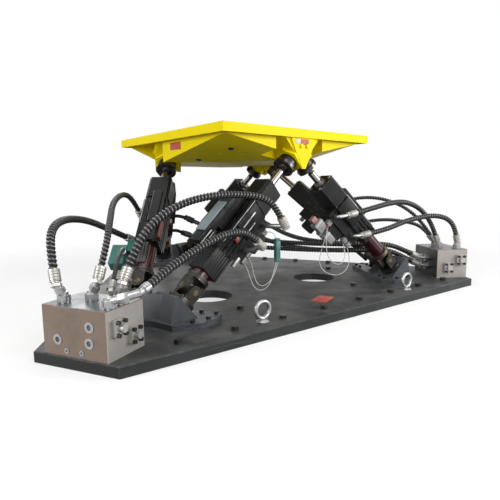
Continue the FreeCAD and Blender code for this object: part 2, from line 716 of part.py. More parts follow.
def leg_fitting(leg, name):
    """The elbow from the valve block, or from the sensor gland for the thin hose, to the end of a hose."""
    end = Vector(*HOSE_POINTS[name][-1])
    arrival = hose_directions(name)[1]
    height = HOSE_ENDS[name][4]
    thin = name in THIN_HOSES
    radius = FITTING_RADIUS * (0.6 if thin else 1)
    ferrule = THIN_FERRULE_RADIUS if thin else FERRULE_RADIUS
    out = GLAND_BOX_OUT if thin else MANIFOLD_HALF
    foot = leg.point(0 if thin else PORT_X, leg.hand * out, height)
    reach = PORT_REACH * (0.7 if thin else 1)
    mouth = end + arrival * ferrule_length(name)
    return elbow(foot, leg.side * leg.hand, reach, mouth, end, radius, ferrule)


def valve_group(leg):
    """The valve block under the leg with its servo valve, connectors and sensor housing."""
    inner = HOUSING_WIDTH / 2
    side = leg.hand
    block = box(inner, MANIFOLD_OUT, -MANIFOLD_HALF, MANIFOLD_HALF, MANIFOLD_START, MANIFOLD_END)
    servo = box(MANIFOLD_OUT, SERVO_OUT, -SERVO_HALF, SERVO_HALF, SERVO_START, SERVO_END)
    near = -side * SENSOR_OFFSET
    sensor = box(-SENSOR_OUT, -inner, near, near + side * SENSOR_WIDTH, SENSOR_START, SENSOR_END)
    edges = [e for e in sensor.Edges if abs(e.Length - (SENSOR_END - SENSOR_START)) < 0.01]
    sensor = sensor.makeChamfer(SENSOR_CHAMFER, edges)
    half = GLAND_BOX_WIDTH / 2
    gland = box(-half, half, side * inner, side * GLAND_BOX_OUT, GLAND_BOX_START, GLAND_BOX_END)
    pieces = [block, servo, sensor]
    if any(name in THIN_HOSES and ends[3] == leg.number for name, ends in HOSE_ENDS.items()):
        pieces.append(gland)
    solids = [placed(piece, leg.at_base) for piece in pieces]
    for height in CONNECTOR_PLACES:
        low = side * CONNECTOR_OFFSET
        connector = box(MANIFOLD_OUT, MANIFOLD_OUT + CONNECTOR_PROUD, low, low + side * CONNECTOR_SIZE,
                        height, height + CONNECTOR_SIZE)
        solids.append(placed(connector, leg.at_base))
    return solids


def hose_radius(name):
    """The outer radius of a hose."""
    if name in THIN_HOSES:
        return THIN_HOSE_RADIUS
    if name in MEDIUM_HOSES:
        return MEDIUM_HOSE_RADIUS
    return HOSE_RADIUS


def tube(points, radius, label):
    """A tube along straight runs joined by tangent arcs, each as large as its runs allow."""
    points = [Vector(*p) for p in points]
    edges = []
    radii = []
    start = points[0]
    for before, corner, after in zip(points, points[1:], points[2:]):
        incoming = unit(corner - before)
        outgoing = unit(after - corner)
        turn = incoming.getAngle(outgoing)
        shorter = min((corner - before).Length, (after - corner).Length)
        back = 0.45 * shorter
        radii.append(back / math.tan(turn / 2))
        first = corner - incoming * back
        last = corner + outgoing * back
        bisector = unit(outgoing - incoming)
        to_centre = radii[-1] / math.cos(turn / 2)
        middle = corner + bisector * (to_centre - radii[-1])
        edges.append(Part.LineSegment(start, first).toShape())
        edges.append(Part.Arc(first, middle, last).toShape())
        start = last
    edges.append(Part.LineSegment(start, points[-1]).toShape())
    path = Part.Wire(edges)
    circle = Part.Circle(points[0], points[1] - points[0], radius)
    solid = path.makePipeShell([Part.Wire(circle.toShape())], True, False)
    length = path.Length
    filled = solid.Volume / (math.pi * radius ** 2 * length)
    print(label, "length", round(length), "least radius", round(min(radii)), "fill", round(filled, 3),
          "radii", [round(r) for r in radii])
    return solid


def ferrule_length(name):
    """How long the crimped ferrule at each end of a hose is."""
    return FERRULE_LENGTH * (0.7 if name in THIN_HOSES else 1)


def hose_directions(name):
    """The first and last directions of a hose's route."""
    points = [Vector(*p) for p in HOSE_POINTS[name]]
    return unit(points[1] - points[0]), unit(points[-1] - points[-2])


def block_fitting(name):
    """The nut on the block's face and the bent fitting up to the ferrule that the hose leaves."""
    corner, distance, offset = HOSE_ENDS[name][:3]
    leaving = hose_directions(name)[0]
    end = Vector(*HOSE_POINTS[name][0])
    thin = name in THIN_HOSES
    ferrule = THIN_FERRULE_RADIUS if thin else FERRULE_RADIUS
    nut = hexagon(NUT_ACROSS_FLATS * (0.6 if thin else 1), 0, NUT_HEIGHT)
    if name.startswith("hose_back"):
        face = CORNER_REACH - BLOCK_SETBACK - BLOCK_DEPTH
        foot = polar(CORNERS[corner], face, offset, distance)
        facing = polar(CORNERS[corner], -1, 0, 0)
        nut = placed(nut, axes_placement(foot, Vector(0, 0, 1).cross(facing), Vector(0, 0, 1), facing))
    else:
        foot = polar(CORNERS[corner], distance, offset, BASE_THICKNESS + BLOCK_HEIGHT)
        facing = Vector(0, 0, 1)
        nut.translate(foot)
    mouth = end - leaving * ferrule_length(name)
    pipe = elbow(foot, facing, NUT_HEIGHT, mouth, end, ferrule * PIPE_SHARE, ferrule)
    return nut.fuse(pipe)


def platform_plate():
    """The top plate with its turned-down rim and payload holes."""
    x = PLATE_X / 2
    y = PLATE_Y / 2
    skin = box(-x, x, -y, y, PLATE_TOP - RIM_DEPTH, PLATE_TOP)
    inner_x = x - RIM_THICKNESS
    inner_y = y - RIM_THICKNESS
    under = PLATE_TOP - PLATE_SKIN
    hollow = box(-inner_x, inner_x, -inner_y, inner_y, PLATE_TOP - RIM_DEPTH - 1, under)
    tray = skin.cut(hollow)
    tools = []
    for k in range(PAYLOAD_HOLES):
        centre = polar(360 / PAYLOAD_HOLES * (k + 0.5), PAYLOAD_PCD / 2, 0, 0)
        tools.append(upright(PAYLOAD_HOLE_RADIUS, centre.x, centre.y, under - 1, PLATE_TOP + 1))
    return placed(tray.cut(tools), turned(PLATFORM_YAW))


def corner_slope(angle, start, reach, low, grow):
    """The tool that slopes the underframe up towards one corner of the plate."""
    top = PLATE_TOP - CORNER_DEPTH + grow
    floor = low - FRAME_DEPTH
    beyond = reach + FRAME_DEPTH
    profile = ((start + grow, floor), (start + grow, low), (reach, top), (beyond, top), (beyond, floor))
    points = [Vector(x, -PLATE_X, z) for x, z in profile]
    face = Part.Face(Part.makePolygon(points + points[:1]))
    return placed(face.extrude(Vector(0, 2 * PLATE_X, 0)), turned(angle))


def frame_body(inset, wall):
    """The underframe's outside, or its inside when a wall is given."""
    x = PLATE_X / 2 - inset
    y = PLATE_Y / 2 - inset
    under = PLATE_TOP - PLATE_SKIN
    low = PLATE_TOP - PLATE_SKIN - FRAME_DEPTH + wall
    body = box(-x, x, -y, y, low, under + (1 if wall else 0))
    diagonal = math.hypot(PLATE_X / 2 - FRAME_INSET, PLATE_Y / 2 - FRAME_INSET)
    tools = []
    for angle, start in SLOPES.items():
        tools.append(corner_slope(angle, start, diagonal, low, wall))
    for angle in TOP_PAIRS.values():
        inner = TOP_JOINT_DISTANCE - NOTCH_INNER - wall
        half = NOTCH_HALF_WIDTH + wall
        tools.append(placed(box(inner, PLATE_X, -half, half, low - 1, PLATE_TOP), turned(angle)))
    return body.cut(tools)


def underframe():
    """The welded box under the top plate, open at three notches for the joint brackets."""
    shell = frame_body(FRAME_INSET, 0).cut(frame_body(FRAME_INSET + FRAME_WALL, FRAME_WALL))
    tools = []
    floor = PLATE_TOP - PLATE_SKIN - FRAME_DEPTH
    for angle in DRAIN_CORNERS:
        for offset in (-DRAIN_SPACING / 2, DRAIN_SPACING / 2):
            centre = polar(angle, DRAIN_DISTANCE, offset, 0)
            tools.append(upright(DRAIN_RADIUS, centre.x, centre.y, floor - 1, PLATE_TOP - RIM_DEPTH))
    return placed(shell.cut(tools), turned(PLATFORM_YAW))


def pair_legs(pair):
    """The two legs that meet at one bracket of the platform."""
    numbers = {"near": (2, 3), "right": (4, 5), "left": (6, 1)}[pair]
    return [leg for leg in LEGS if leg.number in numbers]


def socket_cavity():
    """The room for a ball: it bears on the ball from above and leaves its play below."""
    return Part.makeSphere(BALL_RADIUS + SOCKET_CLEARANCE, Vector(SOCKET_SHIFT, 0, 0))


def joint_bracket(pair):
    """The bracket under the platform: two seats square to their legs and a gusset plate in front."""
    under = PLATE_TOP - PLATE_SKIN
    low = PLATE_TOP - TOP_JOINT_DEPTH - BRACKET_LOW
    inner = TOP_JOINT_DISTANCE - NOTCH_INNER
    outer = TOP_JOINT_DISTANCE + BRACKET_OUTER
    body = box(inner, outer, -BRACKET_HALF_WIDTH, BRACKET_HALF_WIDTH, low, under)
    body = placed(body, turned(TOP_PAIRS[pair] + PLATFORM_YAW))
    seats = []
    cuts = []
    for leg in pair_legs(pair):
        low_face = SEAT_DISTANCE - SEAT_PLATE_THICKNESS
        seat = hexagon(SEAT_PLATE_RADIUS * math.sqrt(3), low_face, SEAT_DISTANCE + 1)
        seats.append(placed(seat, leg.at_top))
        wide = 2 * BRACKET_HALF_WIDTH
        cuts.append(placed(box(-wide, wide, -wide, wide, -wide, SEAT_DISTANCE), leg.at_top))
    body = body.cut(cuts)
    shoulder = under - GUSSET_SHOULDER
    points = ((-GUSSET_HALF_TIP, low), (GUSSET_HALF_TIP, low), (GUSSET_HALF_TOP, shoulder),
              (GUSSET_HALF_TOP, under), (-GUSSET_HALF_TOP, under), (-GUSSET_HALF_TOP, shoulder))
    outline = [Vector(outer, y, z) for y, z in points]
    gusset = Part.Face(Part.makePolygon(outline + outline[:1])).extrude(Vector(GUSSET_THICKNESS, 0, 0))
    gusset = placed(gusset, turned(TOP_PAIRS[pair] + PLATFORM_YAW))
    room = []
    for leg in pair_legs(pair):
        seat = SEAT_DISTANCE - SEAT_PLATE_THICKNESS
        around = upright(SOCKET_RADIUS + SOCKET_ROOM, 0, 0, RING_LOW - SOCKET_ROOM, seat)
        room.append(placed(around, leg.at_top))
        room.append(placed(socket_cavity(), leg.at_top))
    return body.fuse([gusset] + seats).cut(room).removeSplitter()


def gusset_bolts(pair):
    """Two hexagonal bolt heads on a gusset plate."""
    face = TOP_JOINT_DISTANCE + BRACKET_OUTER + GUSSET_THICKNESS
    height = PLATE_TOP - PLATE_SKIN - GUSSET_BOLT_DROP
    bolts = []
    for side in (-1, 1):
        lay = axes_placement(Vector(face, side * GUSSET_BOLT_SPACING / 2, height),
                             Vector(0, 1, 0), Vector(0, 0, 1), Vector(1, 0, 0))
        head = placed(hexagon(GUSSET_BOLT_FLATS, 0, GUSSET_BOLT_HEIGHT), lay)
        bolts.append(placed(head, turned(TOP_PAIRS[pair] + PLATFORM_YAW)))
    return bolts


def joint_socket(leg):
    """The cup that holds the ball, open below."""
    top = SEAT_DISTANCE - SEAT_PLATE_THICKNESS
    cup = upright(SOCKET_RADIUS, 0, 0, SOCKET_LOW, top)
    return placed(cup.cut(socket_cavity()), leg.at_top)


def retaining_ring(leg):
    """The ring bolted to the cup that keeps the ball in."""
    ring = upright(RING_RADIUS, 0, 0, RING_LOW, SOCKET_LOW).cut(socket_cavity())
    heads = []
    for k in range(6):
        angle = math.radians(60 * k + 30)
        x = RING_SCREW_CIRCLE * math.cos(angle)
        y = RING_SCREW_CIRCLE * math.sin(angle)
        heads.append(upright(RING_SCREW_RADIUS, x, y, RING_LOW - RING_SCREW_PROUD, RING_LOW + 2))
    return placed(ring.fuse(heads), leg.at_top)


def terminal_blocks(wires):
    """Two small terminals, side by side on the ends of the first two wires."""
    solids = []
    for points in wires[:2]:
        x, y, z = points[-1]
        solids.append(box(x - TERMINAL_WIDTH / 2, x + TERMINAL_WIDTH / 2, y - TERMINAL_DEPTH / 2,
                          y + TERMINAL_DEPTH / 2, z, z + TERMINAL_HEIGHT))
    return solids


def build():
    """Makes every node and writes it."""
    os.makedirs("parts", exist_ok=True)
    save("base_plate", [base_plate()])
    save("anchor_bolts", anchor_bolts())
    save("lifting_eyes", lifting_eyes())
    corners = ("left", "right")
    save("manifolds", [manifold_block(corner) for corner in corners])
    save("manifold_plugs", [p for corner in corners for p in manifold_plugs(corner)])
    save("port_flanges", [p for corner in corners for p in port_flanges(corner)])
    screws = [p for corner in corners for p in flange_screws(corner)]
    screws += [p for corner in CORNERS for p in bracket_screws(corner)]
    save("socket_screws", screws)
    save("base_brackets", [base_bracket(corner) for corner in CORNERS])
    save("lower_yokes", [lower_yoke(leg) for leg in LEGS])
    save("block_fittings", [block_fitting(name) for name in HOSE_POINTS])
    for name, points in HOSE_POINTS.items():
        save(name, [tube(points, hose_radius(name), name)])
    for leg in LEGS:
        number = str(leg.number)
        save("cross_" + number, [cross(leg)])
        save("barrel_" + number, [barrel(leg)])
        save("housing_" + number, housing(leg))
        save("rod_" + number, [rod_and_ball(leg)])
        fittings = [leg_fitting(leg, name) for name, ends in HOSE_ENDS.items() if ends[3] == leg.number]
        save("valves_" + number, valve_group(leg) + fittings)
    save("platform_plate", [platform_plate()])
    save("underframe", [underframe()])
    bolts = [bolt for pair in TOP_PAIRS for bolt in gusset_bolts(pair)]
    save("joint_brackets", [joint_bracket(pair) for pair in TOP_PAIRS] + bolts)
    save("joint_sockets", [joint_socket(leg) for leg in LEGS])
    save("retaining_rings", [retaining_ring(leg) for leg in LEGS])
    for name, wires in WIRE_POINTS.items():
        solids = [tube(points, WIRE_RADIUS, name) for points in wires]
        save(name, solids + terminal_blocks(wires) if name in HUNG_TERMINALS else solids)


build()
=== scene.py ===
"""The looks of a hydraulic motion platform with six legs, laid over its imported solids.

Lengths are in metres. +Z is up and -Y is the long near side. A leg has its own axes, from the joint at its
foot: X points under the leg, Y to its side and Z along it.
"""

import json
import logging
import math
from collections.abc import Callable, Iterable
from dataclasses import dataclass
from enum import Enum

import bmesh
import bpy
from mathutils import Matrix, Vector


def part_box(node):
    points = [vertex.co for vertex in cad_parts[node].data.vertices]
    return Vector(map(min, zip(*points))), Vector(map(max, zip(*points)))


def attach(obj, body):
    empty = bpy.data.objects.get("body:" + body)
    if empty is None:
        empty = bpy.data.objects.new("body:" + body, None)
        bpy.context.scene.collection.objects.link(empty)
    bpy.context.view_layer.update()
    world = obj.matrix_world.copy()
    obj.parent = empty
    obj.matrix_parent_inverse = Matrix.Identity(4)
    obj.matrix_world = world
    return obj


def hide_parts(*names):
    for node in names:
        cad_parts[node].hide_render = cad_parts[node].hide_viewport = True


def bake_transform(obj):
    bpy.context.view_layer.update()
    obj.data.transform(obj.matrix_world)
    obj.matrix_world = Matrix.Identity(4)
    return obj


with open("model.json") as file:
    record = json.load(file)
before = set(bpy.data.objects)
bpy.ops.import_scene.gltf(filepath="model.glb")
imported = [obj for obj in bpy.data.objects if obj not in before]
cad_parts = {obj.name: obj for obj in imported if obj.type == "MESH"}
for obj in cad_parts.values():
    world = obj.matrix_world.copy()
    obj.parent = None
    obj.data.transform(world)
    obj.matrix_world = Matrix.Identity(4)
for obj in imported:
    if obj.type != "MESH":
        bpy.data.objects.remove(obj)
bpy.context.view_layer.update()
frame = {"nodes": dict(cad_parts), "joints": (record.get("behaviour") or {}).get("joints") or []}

LOG = logging.getLogger("platform")

Socket = bpy.types.NodeSocket
Triple = tuple[float, float, float]
Paint = Socket | Triple
Amount = Socket | float

UPWARD: Triple = (0.0, 0.0, 1.0)


class Wiring:
    """Adds shader nodes to one tree and joins their sockets."""

    def __init__(self, tree: bpy.types.NodeTree) -> None:
        """Keeps the tree that the nodes go into."""
        self.tree = tree

    def node(self, kind: str, **settings: object) -> bpy.types.Node:
        """Adds one node.

        Args:
            kind: Blender's name for the node's type.
            settings: properties of the node and their values.

        Returns:
            The new node.
        """
        made = self.tree.nodes.new(kind)
        for name, value in settings.items():
            setattr(made, name, value)
        return made

    def give(self, socket: Socket, value: object) -> None:
        """Joins a socket to another one, or sets its own value.

        Args:
            socket: the input to fill.
            value: a socket, a number, or three numbers.
        """
        if isinstance(value, Socket):
            self.tree.links.new(value, socket)
        elif socket.type == "RGBA":
            socket.default_value = (*value, 1.0)
        else:
            socket.default_value = value

    def math(self, operation: str, *values: Amount) -> Socket:
        """Works out one number, held between 0 and 1.

        Args:
            operation: Blender's name for the sum.
            values: its terms.

        Returns:
            The result's socket.
        """
        made = self.node("ShaderNodeMath", operation=operation, use_clamp=True)
        for socket, value in zip(made.inputs, values):
            self.give(socket, value)
        return made.outputs[0]

    def vector(self, operation: str, *values: object, output: str = "Vector") -> Socket:
        """Works out one vector sum.

        Args:
            operation: Blender's name for the sum.
            values: its terms.
            output: "Vector" or "Value".

        Returns:
            The result's socket.
        """
        made = self.node("ShaderNodeVectorMath", operation=operation)
        for socket, value in zip(made.inputs, values):
            self.give(socket, value)
        return made.outputs[output]

    def mix(self, share: Amount, first: Paint | Amount, second: Paint | Amount) -> Paint | Amount:
        """Mixes two colours or two numbers, and leaves equal plain values as they are.

        Args:
            share: how much of the second one shows.
            first: the one below.
            second: the one above.

        Returns:
            The mixed socket, or the plain value.
        """
        if not isinstance(first, Socket) and first == second:
            return first
        coloured = isinstance(first, tuple) or getattr(first, "type", "") == "RGBA"
        made = self.node("ShaderNodeMix", data_type="RGBA" if coloured else "FLOAT")
        kind = "RGBA" if coloured else "VALUE"
        ends = [socket for socket in made.inputs if socket.type == kind and socket.name in "AB"]
        self.give(made.inputs[0], share)
        self.give(ends[0], first)
        self.give(ends[1], second)
        return next(socket for socket in made.outputs if socket.type == kind)

    def span(self, value: Amount, start: float, end: float, low: float = 0.0, high: float = 1.0) -> Socket:
        """Maps a number from one range onto another and holds it there.

        Args:
            value: the number.
            start: where the first range starts.
            end: where the first range ends.
            low: the result at the start.
            high: the result at the end.

        Returns:
            The mapped number's socket.
        """
        made = self.node("ShaderNodeMapRange")
        for socket, given in zip(made.inputs, (value, start, end, low, high)):
            self.give(socket, given)
        return made.outputs[0]

    def noise(self, where: Socket, scale: Amount, detail: float = 3.0) -> Socket:
        """Gives soft noise from 0 to 1.

        Args:
            where: the coordinates.
            scale: lumps in a metre.
            detail: how many finer layers it has.

        Returns:
            The noise's socket.
        """
        made = self.node("ShaderNodeTexNoise")
        self.give(made.inputs["Vector"], where)
        self.give(made.inputs["Scale"], scale)
        self.give(made.inputs["Detail"], detail)
        return made.outputs[0]

    def place(self) -> Socket:
        """Gives the point on the piece, which moves with it."""
        return self.node("ShaderNodeTexCoord").outputs["Object"]

    def effect(self, tree: bpy.types.NodeTree, **values: object) -> Socket:
        """Places a shared effect.

        Args:
            tree: the effect's node group.
            values: its inputs by name.

        Returns:
            The effect's mask.
        """
        made = self.node("ShaderNodeGroup", node_tree=tree)
        for name, value in values.items():
            self.give(made.inputs[name], value)
        return made.outputs["Mask"]


class Effect(Enum):
    """The effects that several finishes share."""

    PATCHES = "Uneven coat"
    GRAIN = "Fine grain"
    EDGES = "Worn and highlit edges"
    DUST = "Settled dust"
    SCUFFS = "Scuff marks"
    ZONE = "Zone between two corners"


class EffectShelf:
    """Holds the node group of each effect, built the first time it is asked for.

    Each range gives where a mask starts and where it is full.
    """

    BEVEL_SAMPLES = 3
    FINER_SCALE = 4.3
    FINE_SHARE = 0.4
    MIDDLE = 0.5
    GRAIN_RANGE = (0.3, 0.7)
    EDGE_RANGE = (0.97, 0.75)
    EDGE_GAPS = (0.38, 0.62)
    UP_RANGE = (0.55, 1.0)
    DRIFT_RANGE = (0.35, 0.75)
    LINE_RISE = (0.475, 0.5)
    LINE_FALL = (0.525, 0.5)
    SCUFFED_RANGE = (0.5, 0.66)

    def __init__(self) -> None:
        """Starts with no groups."""
        self.trees: dict[Effect, bpy.types.NodeTree] = {}
        self.makers: dict[Effect, Callable[[], bpy.types.NodeTree]] = {
            Effect.PATCHES: self.patches,
            Effect.GRAIN: self.grain,
            Effect.EDGES: self.edges,
            Effect.DUST: self.dust,
            Effect.SCUFFS: self.scuffs,
            Effect.ZONE: self.zone,
        }

    def get(self, effect: Effect) -> bpy.types.NodeTree:
        """Gives the node group of an effect."""
        if effect not in self.trees:
            self.trees[effect] = self.makers[effect]()
        return self.trees[effect]

    def open(self, effect: Effect, **inputs: str) -> tuple[Wiring, bpy.types.Node, bpy.types.Node]:
        """Starts a node group with one output, a mask.

        Args:
            effect: which effect it is.
            inputs: each input's name and "Float" or "Vector".

        Returns:
            The wiring, the group's input node and its output node.
        """
        tree = bpy.data.node_groups.new(effect.value, "ShaderNodeTree")
        for name, kind in inputs.items():
            tree.interface.new_socket(name=name, in_out="INPUT", socket_type=f"NodeSocket{kind}")
        tree.interface.new_socket(name="Mask", in_out="OUTPUT", socket_type="NodeSocketFloat")
        wiring = Wiring(tree)
        return wiring, wiring.node("NodeGroupInput"), wiring.node("NodeGroupOutput")

    def patches(self) -> bpy.types.NodeTree:
        """Soft patches in two sizes."""
        wiring, given, out = self.open(Effect.PATCHES, Scale="Float", Contrast="Float")
        place = wiring.place()
        wide = wiring.noise(place, given.outputs["Scale"])
        finer = wiring.node("ShaderNodeMath", operation="MULTIPLY")
        wiring.give(finer.inputs[0], given.outputs["Scale"])
        wiring.give(finer.inputs[1], self.FINER_SCALE)
        fine = wiring.noise(place, finer.outputs[0])
        both = wiring.mix(self.FINE_SHARE, wide, fine)
        centred = wiring.node("ShaderNodeMath", operation="SUBTRACT")
        wiring.give(centred.inputs[0], both)
        wiring.give(centred.inputs[1], self.MIDDLE)
        mask = wiring.math("MULTIPLY_ADD", centred.outputs[0], given.outputs["Contrast"], self.MIDDLE)
        wiring.give(out.inputs["Mask"], mask)
        return wiring.tree

    def grain(self) -> bpy.types.NodeTree:
        """Fine noise, drawn out along the axis whose number is least."""
        wiring, given, out = self.open(Effect.GRAIN, Run="Vector")
        drawn = wiring.vector("MULTIPLY", wiring.place(), given.outputs["Run"])
        wiring.give(out.inputs["Mask"], wiring.span(wiring.noise(drawn, 1.0, detail=4.0), *self.GRAIN_RANGE))
        return wiring.tree

    def edges(self) -> bpy.types.NodeTree:
        """Outer edges, broken up by noise."""
        wiring, given, out = self.open(Effect.EDGES, Width="Float", Break="Float")
        rounded = wiring.node("ShaderNodeBevel", samples=self.BEVEL_SAMPLES)
        wiring.give(rounded.inputs["Radius"], given.outputs["Width"])
        flat = wiring.node("ShaderNodeNewGeometry").outputs["Normal"]
        match = wiring.vector("DOT_PRODUCT", rounded.outputs[0], flat, output="Value")
        edge = wiring.span(match, *self.EDGE_RANGE)
        gaps = wiring.span(wiring.noise(wiring.place(), given.outputs["Break"]), *self.EDGE_GAPS)
        wiring.give(out.inputs["Mask"], wiring.math("MULTIPLY", edge, gaps))
        return wiring.tree

    def dust(self) -> bpy.types.NodeTree:
        """Dust on the faces that look up."""
        wiring, given, out = self.open(Effect.DUST, Scale="Float")
        normal = wiring.node("ShaderNodeNewGeometry").outputs["Normal"]
        up = wiring.span(wiring.vector("DOT_PRODUCT", normal, UPWARD, output="Value"), *self.UP_RANGE)
        drift = wiring.noise(wiring.place(), given.outputs["Scale"], detail=5.0)
        drift = wiring.span(drift, *self.DRIFT_RANGE)
        wiring.give(out.inputs["Mask"], wiring.math("MULTIPLY", up, drift))
        return wiring.tree

    def scuffs(self) -> bpy.types.NodeTree:
        """Thin drawn-out marks where things were dragged."""
        wiring, given, out = self.open(Effect.SCUFFS, Run="Vector", Scale="Float")
        drawn = wiring.vector("MULTIPLY", wiring.place(), given.outputs["Run"])
        lines = wiring.noise(drawn, 1.0, detail=6.0)
        rise, fall = wiring.span(lines, *self.LINE_RISE), wiring.span(lines, *self.LINE_FALL)
        thin = wiring.math("MINIMUM", rise, fall)
        where = wiring.noise(wiring.place(), given.outputs["Scale"], detail=2.0)
        where = wiring.span(where, *self.SCUFFED_RANGE)
        wiring.give(out.inputs["Mask"], wiring.math("MULTIPLY", thin, where))
        return wiring.tree

    def zone(self) -> bpy.types.NodeTree:
        """One inside the box between two corners, and nought outside it."""
        wiring, given, out = self.open(Effect.ZONE, Place="Vector", Low="Vector", High="Vector")
        above = wiring.vector("SUBTRACT", given.outputs["Place"], given.outputs["Low"])
        below = wiring.vector("SUBTRACT", given.outputs["High"], given.outputs["Place"])
        least = wiring.node("ShaderNodeSeparateXYZ")
        wiring.give(least.inputs[0], wiring.vector("MINIMUM", above, below))
        inside = wiring.math("GREATER_THAN", least.outputs[0], 0.0)
        for axis in (1, 2):
            inside = wiring.math("MULTIPLY", inside, wiring.math("GREATER_THAN", least.outputs[axis], 0.0))
        wiring.give(out.inputs["Mask"], inside)
        return wiring.tree


SHELF = EffectShelf()
MILLIMETRE = 0.001
GRAIN_SHADE = 0.55
SCUFF_RUN: Triple = (1.0, 26.0, 26.0)
SCUFF_SCALE = 3.0
EDGE_BREAK = 35.0
BARE_ROUGHNESS = 0.35
BARE_METALLIC = 0.9
DUST_COLOUR: Triple = (0.32, 0.31, 0.29)
DUST_SCALE = 9.0
DUST_ROUGHNESS = 0.85
COAT_ROUGHNESS = 0.08
FACING_BLEND = 0.03


@dataclass(frozen=True)
class Layers:
    """What a finish gives to the shader: each is a socket, or a plain value where it is the same all over."""

    colour: Paint
    roughness: Amount
    metallic: Amount
    height: Amount


@dataclass(frozen=True)
class Finish:
    """One surface finish. Colours are linear, and heights are in millimetres."""

    name: str
    colour: Triple
    patch: Triple
    metallic: float = 0.0
    roughness: float = 0.45
    uneven: float = 0.1
    patch_scale: float = 6.0
    contrast: float = 1.8
    grain_run: Triple = (400.0, 400.0, 400.0)
    grain: float = 0.15
    grain_height: float = 0.1
    edge_wear_and_highlight: float = 0.0
    wear_and_highlight_colour: Triple = (0.42, 0.41, 0.4)
    wear_and_highlight_width: float = 0.003
    dust: float = 0.0
    coat: float = 0.0
    specular: float = 0.5
    scuffs: float = 0.0

    def body(self, wiring: Wiring) -> Layers:
        """Wires the coat itself, without wear or dust.

        Args:
            wiring: the material's wiring.

        Returns:
            The coat's layers.
        """
        patches = wiring.effect(SHELF.get(Effect.PATCHES), Scale=self.patch_scale, Contrast=self.contrast)
        grain = wiring.effect(SHELF.get(Effect.GRAIN), Run=self.grain_run)
        colour = wiring.mix(patches, self.colour, self.patch)
        shade = tuple(GRAIN_SHADE * part for part in self.patch)
        colour = wiring.mix(wiring.math("MULTIPLY", grain, self.grain), colour, shade)
        if self.scuffs:
            marks = wiring.effect(SHELF.get(Effect.SCUFFS), Run=SCUFF_RUN, Scale=SCUFF_SCALE)
            colour = wiring.mix(wiring.math("MULTIPLY", marks, self.scuffs), colour, self.wear_and_highlight_colour)
        roughness = wiring.span(patches, 0.0, 1.0, self.roughness - self.uneven, self.roughness + self.uneven)
        return Layers(colour, roughness, self.metallic, wiring.math("MULTIPLY", grain, self.grain_height))

    def weather(self, wiring: Wiring, layers: Layers) -> Layers:
        """Adds worn edges, partly painted highlights on the black finishes, and dust to a coat.

        Args:
            wiring: the material's wiring.
            layers: the coat.

        Returns:
            The coat with its wear, its dust and its painted edge highlights.
        """
        colour, roughness, metallic = layers.colour, layers.roughness, layers.metallic
        if self.edge_wear_and_highlight:
            worn_and_highlit = wiring.effect(SHELF.get(Effect.EDGES), Width=self.wear_and_highlight_width, Break=EDGE_BREAK)
            worn_and_highlit = wiring.math("MULTIPLY", worn_and_highlit, self.edge_wear_and_highlight)
            colour = wiring.mix(worn_and_highlit, colour, self.wear_and_highlight_colour)
            roughness = wiring.mix(worn_and_highlit, roughness, BARE_ROUGHNESS)
            metallic = wiring.mix(worn_and_highlit, metallic, BARE_METALLIC)
        if self.dust:
            dusty = wiring.effect(SHELF.get(Effect.DUST), Scale=DUST_SCALE)
            dusty = wiring.math("MULTIPLY", dusty, self.dust)
            colour = wiring.mix(dusty, colour, DUST_COLOUR)
            roughness = wiring.mix(dusty, roughness, DUST_ROUGHNESS)
        return Layers(colour, roughness, metallic, layers.height)

    def material(self) -> bpy.types.Material:
        """Gives the material of this finish, built once."""
        known = bpy.data.materials.get(self.name)
        return known or shaded(self.name, lambda wiring: self.weather(wiring, self.body(wiring)), self)


def shaded(name: str, paint: Callable[[Wiring], Layers], finish: Finish) -> bpy.types.Material:
    """Builds one material round a Principled shader.

    Args:
        name: the material's name.
        paint: wires the layers.
        finish: gives the coat and the gloss.

    Returns:
        The material.
    """
    material = bpy.data.materials.new(name)
    material.use_nodes = True
    wiring = Wiring(material.node_tree)
    shader = material.node_tree.nodes["Principled BSDF"]
    layers = paint(wiring)
    wiring.give(shader.inputs["Base Color"], layers.colour)
    wiring.give(shader.inputs["Roughness"], layers.roughness)
    wiring.give(shader.inputs["Metallic"], layers.metallic)
    shader.inputs["Specular IOR Level"].default_value = finish.specular
    shader.inputs["Coat Weight"].default_value = finish.coat
    shader.inputs["Coat Roughness"].default_value = COAT_ROUGHNESS
    bump = wiring.node("ShaderNodeBump")
    bump.inputs["Distance"].default_value = MILLIMETRE
    wiring.give(bump.inputs["Height"], layers.height)
    wiring.give(shader.inputs["Normal"], bump.outputs[0])
    return material


YELLOW = Finish("yellow_enamel", (0.93, 0.76, 0.004), (0.84, 0.67, 0.003), roughness=0.5, uneven=0.06,
                patch_scale=3.0, contrast=1.2, grain_run=(220.0, 220.0, 220.0), grain=0.06, grain_height=0.12,
                edge_wear_and_highlight=0.25, wear_and_highlight_colour=(0.55, 0.42, 0.05), wear_and_highlight_width=0.002, specular=0.1)
GROUND = Finish("ground_plate_steel", (0.009, 0.0115, 0.0115), (0.028, 0.033, 0.0325), roughness=0.48,
                uneven=0.16, patch_scale=2.6, contrast=3.0, grain_run=(7.0, 110.0, 110.0), grain=0.5,
                grain_height=0.15, edge_wear_and_highlight=0.8, wear_and_highlight_colour=(0.2, 0.2, 0.19), wear_and_highlight_width=0.006, dust=0.2,
                specular=0.3, scuffs=0.3)
GROUND_EDGE = Finish("ground_plate_edge", (0.004, 0.005, 0.005), (0.014, 0.015, 0.015), roughness=0.5,
                     patch_scale=5.0, contrast=2.4, grain_run=(60.0, 60.0, 200.0), grain=0.3, specular=0.3)
SLATE = Finish("slate_bracket_paint", (0.03, 0.036, 0.042), (0.06, 0.066, 0.076), roughness=0.4, uneven=0.08,
               patch_scale=7.0, grain=0.12, edge_wear_and_highlight=0.6, wear_and_highlight_colour=(0.22, 0.22, 0.23), dust=0.1, specular=0.4,
               scuffs=0.25)
